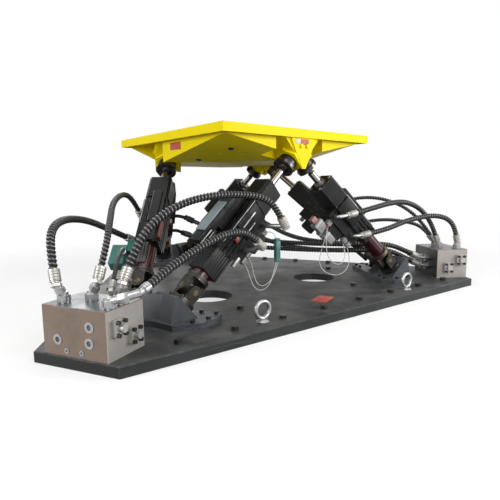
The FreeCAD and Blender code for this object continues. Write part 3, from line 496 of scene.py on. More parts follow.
DARK_STEEL = Finish("dark_joint_steel", (0.016, 0.015, 0.013), (0.05, 0.045, 0.038), metallic=0.6,
                    roughness=0.34, patch_scale=18.0, contrast=2.8, grain_run=(300.0, 300.0, 80.0),
                    grain=0.35, edge_wear_and_highlight=0.9, wear_and_highlight_colour=(0.55, 0.5, 0.42), wear_and_highlight_width=0.003)
RING_STEEL = Finish("ring_steel", (0.17, 0.155, 0.135), (0.05, 0.044, 0.038), metallic=0.85, roughness=0.24,
                    patch_scale=30.0, contrast=3.0, grain=0.3, edge_wear_and_highlight=0.8, wear_and_highlight_colour=(0.6, 0.56, 0.5),
                    wear_and_highlight_width=0.003)
BLACK_OXIDE = Finish("black_oxide_bolt", (0.011, 0.011, 0.011), (0.035, 0.035, 0.035), metallic=0.45,
                     roughness=0.32, patch_scale=30.0, grain=0.2, edge_wear_and_highlight=0.6, wear_and_highlight_colour=(0.3, 0.3, 0.3),
                     wear_and_highlight_width=0.0015)
ZINC = Finish("zinc_plating", (0.47, 0.475, 0.48), (0.34, 0.34, 0.34), metallic=0.8, roughness=0.3,
              uneven=0.05, patch_scale=25.0, contrast=1.8, grain_run=(500.0, 500.0, 90.0), grain=0.3,
              edge_wear_and_highlight=0.5, wear_and_highlight_colour=(0.6, 0.6, 0.59), wear_and_highlight_width=0.0015)
SLEEVE = Finish("crimped_sleeve", (0.56, 0.54, 0.5), (0.36, 0.345, 0.31), metallic=0.5, roughness=0.3,
                uneven=0.08, patch_scale=30.0, contrast=2.2, grain_run=(500.0, 500.0, 90.0), grain=0.25,
                edge_wear_and_highlight=0.4, wear_and_highlight_colour=(0.8, 0.79, 0.75), wear_and_highlight_width=0.001)
BLOCK = Finish("machined_block_steel", (0.245, 0.187, 0.15), (0.17, 0.124, 0.096), metallic=0.5,
               roughness=0.36, uneven=0.07, patch_scale=3.4, contrast=2.8, grain_run=(40.0, 40.0, 700.0),
               grain=0.25, grain_height=0.05, edge_wear_and_highlight=0.8, wear_and_highlight_colour=(0.62, 0.59, 0.55), wear_and_highlight_width=0.003,
               dust=0.06)
# Lit and shaded copies of the block steel for the blocks' faces: painted light on the near side and the top,
# painted shade on the side away from the lamps.
BLOCK_PAINTED_LIT_SIDE = Finish("block_painted_lit_side", (0.43, 0.4, 0.37), (0.3, 0.275, 0.25), metallic=0.35, roughness=0.38,
                    patch_scale=3.4, contrast=2.6, grain_run=(40.0, 40.0, 700.0), grain=0.2,
                    grain_height=0.05)
BLOCK_PAINTED_LIT_TOP = Finish("block_painted_lit_top", (0.17, 0.185, 0.19), (0.1, 0.11, 0.115), metallic=0.5, roughness=0.34,
                   patch_scale=5.0, contrast=2.8, grain_run=(60.0, 700.0, 60.0), grain=0.3, grain_height=0.05)
BLOCK_SHADE = Finish("block_shaded_side", (0.045, 0.046, 0.038), (0.025, 0.025, 0.021), metallic=0.3,
                     roughness=0.4, patch_scale=5.0, contrast=2.4, grain=0.2)
FLANGE = Finish("flange_steel", (0.55, 0.53, 0.5), (0.36, 0.345, 0.32), metallic=0.6, roughness=0.36,
                patch_scale=22.0, grain=0.25, edge_wear_and_highlight=0.5, wear_and_highlight_colour=(0.7, 0.68, 0.65), wear_and_highlight_width=0.002)
# Its light edges are partly wear and partly a painted highlight along the edges.
BLACK_ANODISED = Finish("black_anodised_head", (0.006, 0.0065, 0.0065), (0.017, 0.0175, 0.0165), metallic=0.1,
                        roughness=0.36, uneven=0.08, patch_scale=9.0, contrast=2.4,
                        grain_run=(500.0, 500.0, 40.0), grain=0.25, edge_wear_and_highlight=1.0, wear_and_highlight_colour=(0.42, 0.42, 0.41),
                        wear_and_highlight_width=0.0024, dust=0.02, specular=0.12)
MAROON = Finish("maroon_barrel_paint", (0.06, 0.005, 0.008), (0.024, 0.003, 0.005), roughness=0.16,
                uneven=0.05, patch_scale=8.0, grain=0.08, edge_wear_and_highlight=0.3, wear_and_highlight_colour=(0.3, 0.2, 0.18), coat=0.5)
BRASS = Finish("browned_brass", (0.26, 0.2, 0.12), (0.07, 0.05, 0.032), metallic=0.75, roughness=0.32,
               patch_scale=22.0, contrast=3.0, grain=0.3, edge_wear_and_highlight=0.7, wear_and_highlight_colour=(0.65, 0.54, 0.36),
               wear_and_highlight_width=0.002)
CHROME = Finish("chromed_rod", (0.42, 0.39, 0.365), (0.27, 0.245, 0.225), metallic=1.0, roughness=0.16,
                uneven=0.04, patch_scale=10.0, grain_run=(900.0, 900.0, 60.0), grain=0.05, grain_height=0.01)
SENSOR_GREY = Finish("sensor_case_grey", (0.19, 0.235, 0.25), (0.1, 0.135, 0.145), roughness=0.36,
                     uneven=0.08, patch_scale=16.0, contrast=2.6, grain=0.2, edge_wear_and_highlight=0.5,
                     wear_and_highlight_colour=(0.5, 0.52, 0.53))
# Its light edges are partly wear and partly a painted highlight along the rib edges.
COVER_BLACK = Finish("ribbed_cover_black", (0.008, 0.0085, 0.0085), (0.022, 0.0225, 0.0215), roughness=0.34,
                     uneven=0.06, patch_scale=9.0, grain_run=(500.0, 500.0, 40.0), grain=0.15, edge_wear_and_highlight=0.45,
                     wear_and_highlight_colour=(0.3, 0.3, 0.29), wear_and_highlight_width=0.0012, specular=0.3)
COVER_GREY = Finish("ribbed_cover_grey", (0.1, 0.1, 0.104), (0.05, 0.05, 0.052), roughness=0.36, uneven=0.06,
                    patch_scale=14.0, grain=0.15, edge_wear_and_highlight=0.5, wear_and_highlight_colour=(0.45, 0.45, 0.45), wear_and_highlight_width=0.0012)
SERVO_BLACK = Finish("servo_case", (0.007, 0.007, 0.0075), (0.02, 0.019, 0.018), roughness=0.33, uneven=0.07,
                     patch_scale=15.0, contrast=2.4, grain=0.2, edge_wear_and_highlight=0.9, wear_and_highlight_colour=(0.34, 0.34, 0.33),
                     wear_and_highlight_width=0.002, specular=0.12)
CONNECTOR_GREY = Finish("connector_grey", (0.36, 0.35, 0.36), (0.17, 0.17, 0.175), roughness=0.4,
                        patch_scale=30.0, contrast=2.6, grain=0.2, edge_wear_and_highlight=0.4, wear_and_highlight_width=0.0015)
TEAL = Finish("teal_junction_box", (0.05, 0.18, 0.155), (0.02, 0.095, 0.085), roughness=0.36,
              patch_scale=20.0, contrast=2.4, grain=0.15, edge_wear_and_highlight=0.5, wear_and_highlight_colour=(0.3, 0.42, 0.42),
              wear_and_highlight_width=0.002)
WHITE_PLASTIC = Finish("white_wire_sheath", (0.62, 0.62, 0.59), (0.42, 0.42, 0.39), roughness=0.38,
                       patch_scale=30.0, grain=0.1)
PINK_CAP = Finish("faded_red_cap", (0.42, 0.2, 0.2), (0.28, 0.12, 0.12), roughness=0.42, patch_scale=25.0,
                  grain=0.2)
PLATE_RED = Finish("blank_plate_red", (0.5, 0.07, 0.035), (0.38, 0.05, 0.028), roughness=0.45,
                   patch_scale=25.0, contrast=2.2, grain=0.12)
SIGNAL_RED = Finish("red_cover", (0.24, 0.035, 0.02), (0.11, 0.016, 0.012), roughness=0.38, patch_scale=25.0,
                    contrast=2.6, grain=0.2, edge_wear_and_highlight=0.4, wear_and_highlight_colour=(0.5, 0.2, 0.15), wear_and_highlight_width=0.0015)

# Painted light and shade on the manifold blocks, chosen by the way each face looks.
BLOCK_FACES = (
    ((0.0, -1.0, 0.0), 0.85, BLOCK_PAINTED_LIT_SIDE),
    ((-0.866, 0.5, 0.0), 0.95, BLOCK_SHADE),
    (UPWARD, 0.95, BLOCK_PAINTED_LIT_TOP),
)
GROUND_FACES = (((-0.866, -0.5, 0.0), 0.95, GROUND_EDGE),)

NODE_FINISHES = {
    "anchor_bolts": BLACK_OXIDE,
    "lifting_eyes": ZINC,
    "manifold_plugs": ZINC,
    "port_flanges": FLANGE,
    "socket_screws": BLACK_OXIDE,
    "base_brackets": SLATE,
    "lower_yokes": DARK_STEEL,
    "block_fittings": ZINC,
    "platform_plate": YELLOW,
    "underframe": YELLOW,
    "joint_brackets": YELLOW,
    "joint_sockets": DARK_STEEL,
    "retaining_rings": RING_STEEL,
}


def faced(name: str, ground: Finish, faces: Iterable[tuple[Triple, float, Finish]]) -> bpy.types.Material:
    """Builds a material whose finish changes with the way each face looks, lighter or darker; on the blocks
    this is painted light and shade.

    Args:
        name: the material's name.
        ground: the finish of the faces that aren't named, whose wear they all share.
        faces: where a face looks, how close to that it has to look, and its finish.

    Returns:
        The material.
    """

    def paint(wiring: Wiring) -> Layers:
        """Wires one coat for each way that a face looks."""
        normal = wiring.node("ShaderNodeNewGeometry").outputs["Normal"]
        below = ground.body(wiring)
        for look, least, finish in faces:
            towards = wiring.vector("DOT_PRODUCT", normal, look, output="Value")
            facing = wiring.span(towards, least - FACING_BLEND, least)
            above = finish.body(wiring)
            below = Layers(
                wiring.mix(facing, below.colour, above.colour),
                wiring.mix(facing, below.roughness, above.roughness),
                wiring.mix(facing, below.metallic, above.metallic),
                below.height,
            )
        return ground.weather(wiring, below)

    return shaded(name, paint, ground)


def dress(node: str, material: bpy.types.Material) -> None:
    """Gives a CAD node its material.

    Args:
        node: the node's name.
        material: the material for all of it.
    """
    piece = frame["nodes"][node]
    if not piece.material_slots:
        piece.data.materials.append(material)
    for slot in piece.material_slots:
        slot.material = material
    LOG.info("dressed %s in %s", node, material.name)


@dataclass(frozen=True)
class Leg:
    """One leg's number and its own axes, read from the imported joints."""

    number: int
    base: Vector
    under: Vector
    side: Vector
    axis: Vector
    hand: float

    @staticmethod
    def read(number: int, hand: float) -> "Leg":
        """Reads a leg from the frame.

        Args:
            number: from 1 to 6.
            hand: 1 where the hoses are on its +Y side, and -1 where they are on the other.

        Returns:
            The leg.
        """
        joints = {joint["name"]: joint for joint in frame["joints"]}
        base = Vector(joints[f"leg_{number}_pitch"]["pos_m"])
        axis = Vector(joints[f"leg_{number}_stroke"]["axis"]).normalized()
        plan = Vector((axis.x, axis.y, 0.0)).normalized()
        side = Vector((-plan.y, plan.x, 0.0))
        return Leg(number, base, side.cross(axis), side, axis, hand)

    def lay(self, x: float = 0.0, y: float = 0.0, z: float = 0.0) -> Matrix:
        """Gives the matrix that lays a shape on the leg at a point of its axes."""
        turn = Matrix((self.under, self.side, self.axis)).transposed().to_4x4()
        return Matrix.Translation(self.base) @ turn @ Matrix.Translation((x, y, z))

    def place(self, wiring: Wiring) -> Socket:
        """Wires the point on a piece in the leg's axes."""
        shifted = wiring.vector("SUBTRACT", wiring.place(), tuple(self.base))
        made = wiring.node("ShaderNodeCombineXYZ")
        for socket, axis in zip(made.inputs, (self.under, self.side, self.axis)):
            wiring.give(socket, wiring.vector("DOT_PRODUCT", shifted, tuple(axis), output="Value"))
        return made.outputs[0]


ROUND_SIDES = 24
NUT_SIDES = 6
SLEEVE_SIDES = 28

LEG_HANDS = {1: 1.0, 2: -1.0, 3: 1.0, 4: -1.0, 5: 1.0, 6: 1.0}
LEGS = {number: Leg.read(number, hand) for number, hand in LEG_HANDS.items()}
FAR_LEGS = (5, 6)

# Zones and places in a leg's axes. FAR reaches past the leg on any side.
FAR = 2.0
BALL = 0.038
NECK_LENGTH = 0.066
HEAD_TOP = 0.78
COLLAR_START, COLLAR_END = 0.062, 0.0861
GLAND_HALF, GLAND_START = 0.05, 0.7805
SCREW_SPACING = 0.05
HEAD_SCREW = ((0.0085, 0.0), (0.0085, 0.007), (0.0075, 0.008), (0.0045, 0.008), (0.004, 0.003))
PIPES_START = 0.0501
SOCKETS_BOX = ((0.1281, -0.09, 0.3), (0.19, 0.09, 0.62))
SERVO_BOX = ((0.1281, -0.035, 0.4299), (0.19, 0.035, 0.5361))
SIDE_BOX = ((-0.0291, 0.063, 0.2219), (0.0291, 0.119, 0.3061))


@dataclass(frozen=True)
class Zone:
    """A box in a leg's axes and the finish inside it."""

    low: Triple
    high: Triple
    finish: Finish


def zoned(name: str, leg: Leg, ground: Finish, zones: Iterable[Zone]) -> bpy.types.Material:
    """Builds a material whose finish changes from zone to zone of a leg.

    Args:
        name: the material's name.
        leg: the leg that carries it.
        ground: the finish outside all zones, whose worn and highlit edges and dust it all shares.
        zones: the zones, the later ones on top.

    Returns:
        The material.
    """

    def paint(wiring: Wiring) -> Layers:
        """Wires the zones over the ground."""
        place = leg.place(wiring)
        below = ground.body(wiring)
        for zone in zones:
            above = zone.finish.body(wiring)
            inside = wiring.effect(SHELF.get(Effect.ZONE), Place=place, Low=zone.low, High=zone.high)
            below = Layers(
                wiring.mix(inside, below.colour, above.colour),
                wiring.mix(inside, below.roughness, above.roughness),
                wiring.mix(inside, below.metallic, above.metallic),
                wiring.mix(inside, below.height, above.height),
            )
        return ground.weather(wiring, below)

    return shaded(name, paint, ground)


def metres(point: Iterable[float]) -> Vector:
    """Turns a point or a size in millimetres into metres."""
    return Vector(point) / 1000


def linked(name: str, data: bpy.types.ID) -> bpy.types.Object:
    """Puts a mesh, a curve, a lamp or a camera into the scene as an object."""
    made = bpy.data.objects.new(name, data)
    bpy.context.scene.collection.objects.link(made)
    return made


def finished(name: str, shape: bmesh.types.BMesh, finish: Finish, sharp: float = 35.0) -> bpy.types.Object:
    """Turns a mesh in the making into a piece of the scene.

    Args:
        name: the piece's name.
        shape: the mesh, which is freed.
        finish: its finish.
        sharp: edges that turn by more degrees than this stay sharp.

    Returns:
        The piece.
    """
    mesh = bpy.data.meshes.new(name)
    bmesh.ops.recalc_face_normals(shape, faces=shape.faces)
    shape.to_mesh(mesh)
    shape.free()
    mesh.polygons.foreach_set("use_smooth", [True] * len(mesh.polygons))
    mesh.set_sharp_from_angle(angle=math.radians(sharp))
    mesh.materials.append(finish.material())
    return linked(name, mesh)


def lathe(shape: bmesh.types.BMesh, profile: Iterable[tuple[float, float]], lay: Matrix,
          sides: int = ROUND_SIDES) -> None:
    """Adds a turned shape, or a nut where it has six sides.

    Args:
        shape: the mesh to add to.
        profile: radius and height of each ring, closed at both ends.
        lay: where it stands.
        sides: how many sides a ring has.
    """
    rings = []
    for radius, height in profile:
        turns = [math.tau * k / sides for k in range(sides)]
        corners = [Vector((radius * math.cos(a), radius * math.sin(a), height)) for a in turns]
        rings.append([shape.verts.new(lay @ corner) for corner in corners])
    for low, high in zip(rings, rings[1:]):
        for k in range(sides):
            after = (k + 1) % sides
            shape.faces.new((low[k], low[after], high[after], high[k]))
    shape.faces.new(reversed(rings[0]))
    shape.faces.new(rings[-1])


def slab(shape: bmesh.types.BMesh, size: Triple, lay: Matrix, edge: float) -> None:
    """Adds a block with rounded edges, centred on its place.

    Args:
        shape: the mesh to add to.
        size: its three sides.
        lay: where its middle is.
        edge: how wide its rounded edges are.
    """
    made = bmesh.new()
    bmesh.ops.create_cube(made, size=1.0, matrix=Matrix.Diagonal((*size, 1.0)))
    bmesh.ops.bevel(made, geom=made.edges[:], offset=edge, segments=2, affect="EDGES", profile=0.5)
    bmesh.ops.transform(made, matrix=lay, verts=made.verts)
    block = bpy.data.meshes.new("block")
    made.to_mesh(block)
    made.free()
    shape.from_mesh(block)
    bpy.data.meshes.remove(block)


def aimed(origin: Vector, direction: Vector) -> Matrix:
    """Gives the matrix that stands a turned shape at a point, along a direction."""
    turn = direction.to_track_quat("Z", "Y").to_matrix().to_4x4()
    return Matrix.Translation(origin) @ turn


SPLINE_ORDER = 3
LEAST_STEPS = 8


def spline_points(name: str, route: Iterable[Triple], fineness: float) -> list[Vector]:
    """Reads the smooth line of a route.

    Args:
        name: the curve's name while it is read.
        route: the spline's control points, in millimetres.
        fineness: how far apart the points read are, about.

    Returns:
        Points along the spline, in metres.
    """
    corners = [metres(point) for point in route]
    curve = bpy.data.curves.new(name, "CURVE")
    curve.dimensions = "3D"
    spline = curve.splines.new("NURBS")
    spline.points.add(len(corners) - 1)
    for point, corner in zip(spline.points, corners):
        point.co = (*corner, 1.0)
    spline.order_u = SPLINE_ORDER
    spline.use_endpoint_u = True
    runs = sum((b - a).length for a, b in zip(corners, corners[1:]))
    curve.resolution_u = max(LEAST_STEPS, round(runs / (len(corners) - 1) / fineness))
    holder = bpy.data.objects.new(name, curve)
    line = bpy.data.meshes.new_from_object(holder)
    points = [vertex.co.copy() for vertex in line.vertices]
    bpy.data.objects.remove(holder)
    bpy.data.curves.remove(curve)
    bpy.data.meshes.remove(line)
    return points


def line_length(points: list[Vector]) -> float:
    """Gives the length of a line through points."""
    return sum((b - a).length for a, b in zip(points, points[1:]))


@dataclass(frozen=True)
class GuardFinish:
    """Black plastic spiral guard, with duller valleys darkened by painted shade and a shine on the crowns of
    its turns.

    Each range gives where in a turn's depth a change starts and ends: 0 is a crown and 1 a valley.
    """

    name: str = "spiral_guard_plastic"
    crown: Triple = (0.013, 0.0135, 0.014)
    patch: Triple = (0.03, 0.03, 0.031)
    # painted shade: the colour that darkens the valleys between the turns
    valley: Triple = (0.001, 0.001, 0.001)
    dull: float = 0.8
    gloss: float = 1.78
    painted_shade_range: tuple[float, float] = (0.1, 0.6)
    shine_range: tuple[float, float] = (0.03, 0.36)

    def depth(self, wiring: Wiring) -> Socket:
        """Wires how deep a point lies between the turns."""
        return wiring.node("ShaderNodeAttribute", attribute_name="valley").outputs["Fac"]

    def material(self) -> bpy.types.Material:
        """Gives the guard's material, built once."""
        known = bpy.data.materials.get(self.name)
        if known:
            return known
        base = Finish(self.name, self.crown, self.patch, roughness=0.3, uneven=0.06, patch_scale=12.0,
                      contrast=2.2, grain=0.2, specular=0.3)

        def paint(wiring: Wiring) -> Layers:
            """Paints shade into the valleys between the turns."""
            coat = base.body(wiring)
            depth = self.depth(wiring)
            colour = wiring.mix(wiring.span(depth, *self.painted_shade_range), coat.colour, self.valley)
            roughness = wiring.mix(depth, coat.roughness, self.dull)
            return Layers(colour, roughness, coat.metallic, coat.height)

        material = shaded(self.name, paint, base)
        shader = material.node_tree.nodes["Principled BSDF"]
        shader.inputs["Coat IOR"].default_value = self.gloss
        wiring = Wiring(material.node_tree)
        shine = wiring.span(self.depth(wiring), *self.shine_range, 1.0, 0.0)
        wiring.give(shader.inputs["Coat Weight"], shine)
        return material


GUARD = GuardFinish()

# The crimped sleeve, its swivel nut and the dark rings of painted shade in its grooves. Shares are of the
# sleeve's length.
SLEEVE_WALL = 0.0015
GROOVE_DEPTH = 0.0003
CRIMPS = (0.2, 0.46, 0.72)
CRIMP_HALF = 0.0016
MOUTH_FIT = 0.98
LIP_HEIGHTS = (-0.016, -0.014, -0.004, -0.0028, -0.0016)
SLEEVE_TAIL = ((1.0, 0.82), (0.8, 0.86), (0.8, 0.98))
SWIVEL_FIT = 1.06
SWIVEL_EDGE = 0.003
SWIVEL_HEIGHTS = (0.0, 0.002, 0.014, 0.016)
RING_HALF = 0.0007
RING_EDGE = 0.001

# The nut on a hose block, and the shank over it with a nut of its own, whose heights are shares of the shank's
# length.
BLOCK_TOP_HEIGHT = 256.0
NUT_TOP = 0.024
FOOT_NUT = ((0.025, 0.0005), (0.0285, 0.003), (0.0285, 0.03), (0.025, 0.033))
FOOT_COLLAR = ((0.02, 0.03), (0.02, 0.04), (0.017, 0.043))
SHANK_NUT = ((0.019, 0.3), (0.022, 0.33), (0.022, 0.62), (0.019, 0.65))
SHANK_START = 0.004
SHANK_TAPER = 0.9
SHANK_RADIUS = 0.0165
SHANK_TIP = 0.0155


@dataclass(frozen=True)
class Hose:
    """One hydraulic hose in its spiral guard, with the crimped sleeves at its ends.

    The route is in millimetres, and the other lengths are in metres. The seat is where the shank stands on a
    hose block: its angle round the platform in degrees, and its distance and offset in millimetres.
    """

    name: str
    leg: int
    length: float
    route: tuple[Triple, ...]
    radius: float = 0.019
    sleeve: float = 0.022
    sleeve_length: float = 0.044
    pitch: float = 0.0195
    ridge: float = 0.0062
    roundness: float = 1.3
    sides: int = 14
    fineness: float = 0.0021
    block_sleeve: bool = True
    seat: Triple | None = None

    def turn_depth(self, along: float) -> float:
        """Gives how deep the guard lies at a place: 0 on a turn's crown and 1 in a valley."""
        part = along / self.pitch % 1.0
        return abs(2 * part - 1) ** self.roundness

    def build(self) -> None:
        """Builds the guarded hose, its sleeves and its shank."""
        points = spline_points(self.name + "_line", self.route, self.fineness)
        hose = self.guard(points)
        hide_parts(self.name)
        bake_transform(hose)
        back, onward = points[0] - points[2], points[-1] - points[-3]
        if self.block_sleeve:
            self.crimp("block", points[0], back, "base")
        self.rings("block", points[0], back, "base")
        self.rings("leg", points[-1], onward, f"cylinder_{self.leg}")
        self.crimp("leg", points[-1], onward, f"cylinder_{self.leg}")
        if self.seat:
            self.shank(back, points[0])
        LOG.info("built %s, spline %.3f m", self.name, line_length(points))

    def guard(self, points: list[Vector]) -> bpy.types.Object:
        """Builds the tube with the guard's helical turns.

        Args:
            points: the centre line.

        Returns:
            The tube.
        """
        shape = bmesh.new()
        depth = shape.verts.layers.float.new("valley")
        rings: list[list[bmesh.types.BMVert]] = []
        along = 0.0
        across = (points[1] - points[0]).orthogonal().normalized()
        for k, point in enumerate(points):
            before, after = points[max(k - 1, 0)], points[min(k + 1, len(points) - 1)]
            tangent = (after - before).normalized()
            across = (across - tangent * across.dot(tangent)).normalized()
            other = tangent.cross(across)
            along += (point - points[k - 1]).length if k else 0.0
            ring = []
            for side in range(self.sides):
                angle = math.tau * side / self.sides
                valley = self.turn_depth(along + self.pitch * side / self.sides)
                reach = self.radius - self.ridge * valley
                vertex = shape.verts.new(point + (across * math.cos(angle) + other * math.sin(angle)) * reach)
                vertex[depth] = valley
                ring.append(vertex)
            rings.append(ring)
        for low, high in zip(rings, rings[1:]):
            for side in range(self.sides):
                after = (side + 1) % self.sides
                shape.faces.new((low[side], low[after], high[after], high[side]))
        shape.faces.new(reversed(rings[0]))
        shape.faces.new(rings[-1])
        mesh = bpy.data.meshes.new(self.name + "_guard")
        shape.to_mesh(mesh)
        shape.free()
        mesh.polygons.foreach_set("use_smooth", [True] * len(mesh.polygons))
        mesh.materials.append(GUARD.material())
        return linked(self.name + "_guard", mesh)

    def crimp(self, end: str, mouth: Vector, back: Vector, body: str) -> None:
        """Builds the crimped sleeve and the swivel nut over one end's plain ferrule.

        Args:
            end: "block" or "leg".
            mouth: where the hose leaves the ferrule.
            back: the direction away from the hose.
            body: the body it rides on.
        """
        wall = self.sleeve + SLEEVE_WALL
        groove = self.sleeve - GROOVE_DEPTH
        full = self.sleeve_length
        profile = list(zip((self.radius * MOUTH_FIT, wall, wall, groove, wall), LIP_HEIGHTS))
        for share in CRIMPS:
            middle = full * share
            profile += [(wall, middle - CRIMP_HALF), (groove, middle), (wall, middle + CRIMP_HALF)]
        profile += [(wall * across, full * along) for across, along in SLEEVE_TAIL]
        shape = bmesh.new()
        lay = aimed(mouth, back)
        lathe(shape, profile, lay, SLEEVE_SIDES)
        nut = self.sleeve * SWIVEL_FIT
        reaches = (nut - SWIVEL_EDGE, nut, nut, nut - SWIVEL_EDGE)
        lathe(shape, zip(reaches, (full + height for height in SWIVEL_HEIGHTS)), lay, NUT_SIDES)
        hidden = end == "leg" and self.leg in FAR_LEGS
        piece = finished(f"{self.name}_{end}_sleeve", shape, BLACK_OXIDE if hidden else SLEEVE)
        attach(piece, body)

    def shank(self, back: Vector, end: Vector) -> None:
        """Builds the nut on the hose block and the stout shank up to the sleeve.

        Args:
            back: the direction away from the hose.
            end: where the hose leaves the sleeve.
        """
        angle, distance, offset = self.seat
        turn = Matrix.Rotation(math.radians(angle), 4, "Z")
        foot = metres(turn @ Vector((distance, offset, BLOCK_TOP_HEIGHT)))
        bend = foot + Vector((0.0, 0.0, NUT_TOP))
        mouth = end + back.normalized() * self.sleeve_length
        shape = bmesh.new()
        lay = Matrix.Translation(foot) @ turn
        lathe(shape, FOOT_NUT, lay, NUT_SIDES)
        lathe(shape, FOOT_COLLAR, lay)
        reach = (mouth - bend).length
        lay = aimed(bend, mouth - bend)
        lathe(shape, [(radius, reach * share) for radius, share in SHANK_NUT], lay, NUT_SIDES)
        bar = [(SHANK_RADIUS, SHANK_START), (SHANK_RADIUS, reach * SHANK_TAPER), (SHANK_TIP, reach)]
        lathe(shape, bar, lay)
        piece = finished(f"{self.name}_shank", shape, ZINC)
        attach(piece, "base")

    def rings(self, end: str, mouth: Vector, back: Vector, body: str) -> None:
        """Builds dark rings of painted shade in the bottoms of the crimp grooves.

        Args:
            end: "block" or "leg".
            mouth: where the hose leaves the ferrule.
            back: the direction away from the hose.
            body: the body it rides on.
        """
        shape = bmesh.new()
        reach = self.sleeve + GROOVE_DEPTH
        foot = reach - RING_EDGE
        for share in CRIMPS:
            middle = self.sleeve_length * share
            profile = [(foot, middle - RING_EDGE), (reach, middle - RING_HALF), (reach, middle + RING_HALF),
                       (foot, middle + RING_EDGE)]
            lathe(shape, profile, aimed(mouth, back), SLEEVE_SIDES)
        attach(finished(f"{self.name}_{end}_rings", shape, BLACK_OXIDE), body)


MEDIUM = {"radius": 0.016}
THIN = {"radius": 0.010, "sleeve": 0.014, "sleeve_length": 0.031, "pitch": 0.012, "ridge": 0.003, "sides": 10}

HOSES = (
    Hose("hose_left_1", 1, 1.015, ((-1432, -680, 378), (-1432, -635, 475), (-1400, -545, 555),
         (-1300, -380, 580), (-1145, -190, 555), (-995, -70, 490), (-865, -35, 425)),
         seat=(210.0, 1564.0, -101.0)),
    Hose("hose_left_2", 1, 1.096, ((-1265, -745, 380), (-1225, -715, 475), (-1160, -590, 570),
         (-1065, -370, 650), (-930, -150, 690), (-815, 0, 660), (-750, 55, 570)),
         seat=(210.0, 1495.0, -16.0), **MEDIUM),
    Hose("hose_left_3", 1, 0.656, ((-1235, -800, 325), (-1195, -735, 380), (-1135, -610, 410),
         (-1030, -400, 420), (-972, -226, 372)), **THIN),
    Hose("hose_left_4", 2, 1.089, ((-1195, -865, 385), (-1145, -845, 480), (-1055, -815, 570),
         (-905, -790, 650), (-700, -770, 685), (-500, -760, 680), (-395, -765, 657), (-327, -764, 611),
         (-280, -761, 541)), seat=(210.0, 1490.0, 138.0)),
    Hose("hose_left_5", 2, 0.785, ((-1155, -975, 335), (-1055, -925, 375), (-915, -880, 430),
         (-745, -835, 485), (-620, -805, 503), (-520, -782, 487), (-446, -762, 432)), block_sleeve=False,
         seat=(210.0, 1570.0, 140.0)),
    Hose("hose_right_1", 3, 0.867, ((1285, -885, 342), (1268, -878, 408), (1229, -863, 461),
         (1165, -840, 494), (1060, -800, 505), (860, -755, 478), (685, -725, 425), (540, -680, 400)),
         seat=(330.0, 1560.0, -124.0)),
    Hose("hose_right_2", 3, 0.935, ((1225, -760, 335), (1185, -740, 450), (1085, -712, 550),
         (930, -695, 605), (750, -690, 600), (585, -680, 570), (430, -655, 540)),
         seat=(330.0, 1466.0, -52.0)),
    Hose("hose_right_3", 4, 0.955, ((1268, -701, 328), (1240, -650, 415), (1195, -560, 520),
         (1130, -455, 590), (1045, -315, 630), (940, -170, 615), (800, -20, 555)),
         seat=(330.0, 1480.0, 17.0), **MEDIUM),
    Hose("hose_right_4", 4, 0.75, ((1338, -640, 325), (1305, -590, 395), (1250, -520, 430),
         (1125, -375, 455), (985, -235, 425), (870, -110, 395)),
         seat=(330.0, 1516.0, 102.0), **MEDIUM),
    Hose("hose_back_1", 5, 1.544, ((1120, -619, 152), (1060, -585, 184), (985, -541, 230),
         (880, -481, 244), (755, -360, 240), (650, -190, 228), (570, 0, 230), (520, 190, 245),
         (490, 360, 275), (460, 510, 320), (425, 635, 372))),
    Hose("hose_back_2", 5, 1.449, ((1120, -619, 206), (1050, -579, 244), (975, -535, 278),
         (870, -472, 288), (745, -350, 284), (640, -190, 290), (560, -10, 305), (530, 170, 340),
         (515, 330, 395), (490, 450, 445), (455, 530, 485))),
    Hose("hose_back_3", 6, 1.782, ((1096, -661, 152), (1036, -627, 184), (960, -583, 230),
         (855, -523, 244), (700, -390, 242), (520, -200, 240), (330, 20, 248), (140, 230, 262),
         (25, 385, 285), (-60, 495, 312), (-125, 580, 342))),
    Hose("hose_back_4", 6, 1.729, ((1096, -661, 206), (1026, -621, 244), (950, -577, 278),
         (845, -516, 288), (700, -390, 286), (520, -200, 288), (340, 0, 298), (170, 170, 322),
         (30, 300, 362), (-75, 385, 412), (-160, 455, 465))),
)


@dataclass(frozen=True)
class Wire:
    """One thin signal wire that loops free beside a leg. The route is in millimetres."""

    name: str
    leg: int
    length: float
    route: tuple[Triple, ...]
    radius: float = 0.0025
    roundness: int = 3
    steps: int = 10

    def build(self) -> None:
        """Builds the wire as a curve."""
        curve = bpy.data.curves.new(self.name, "CURVE")
        curve.dimensions = "3D"
        curve.bevel_depth = self.radius
        curve.bevel_resolution = self.roundness
        curve.use_fill_caps = True
        curve.resolution_u = self.steps
        spline = curve.splines.new("NURBS")
        spline.points.add(len(self.route) - 1)
        for point, corner in zip(spline.points, self.route):
            point.co = (*metres(corner), 1.0)
        spline.order_u = SPLINE_ORDER
        spline.use_endpoint_u = True
        curve.materials.append(WHITE_PLASTIC.material())
        piece = linked(self.name, curve)
        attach(piece, f"cylinder_{self.leg}")
        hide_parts(f"signal_wires_{self.leg}")
        LOG.info("built %s", self.name)


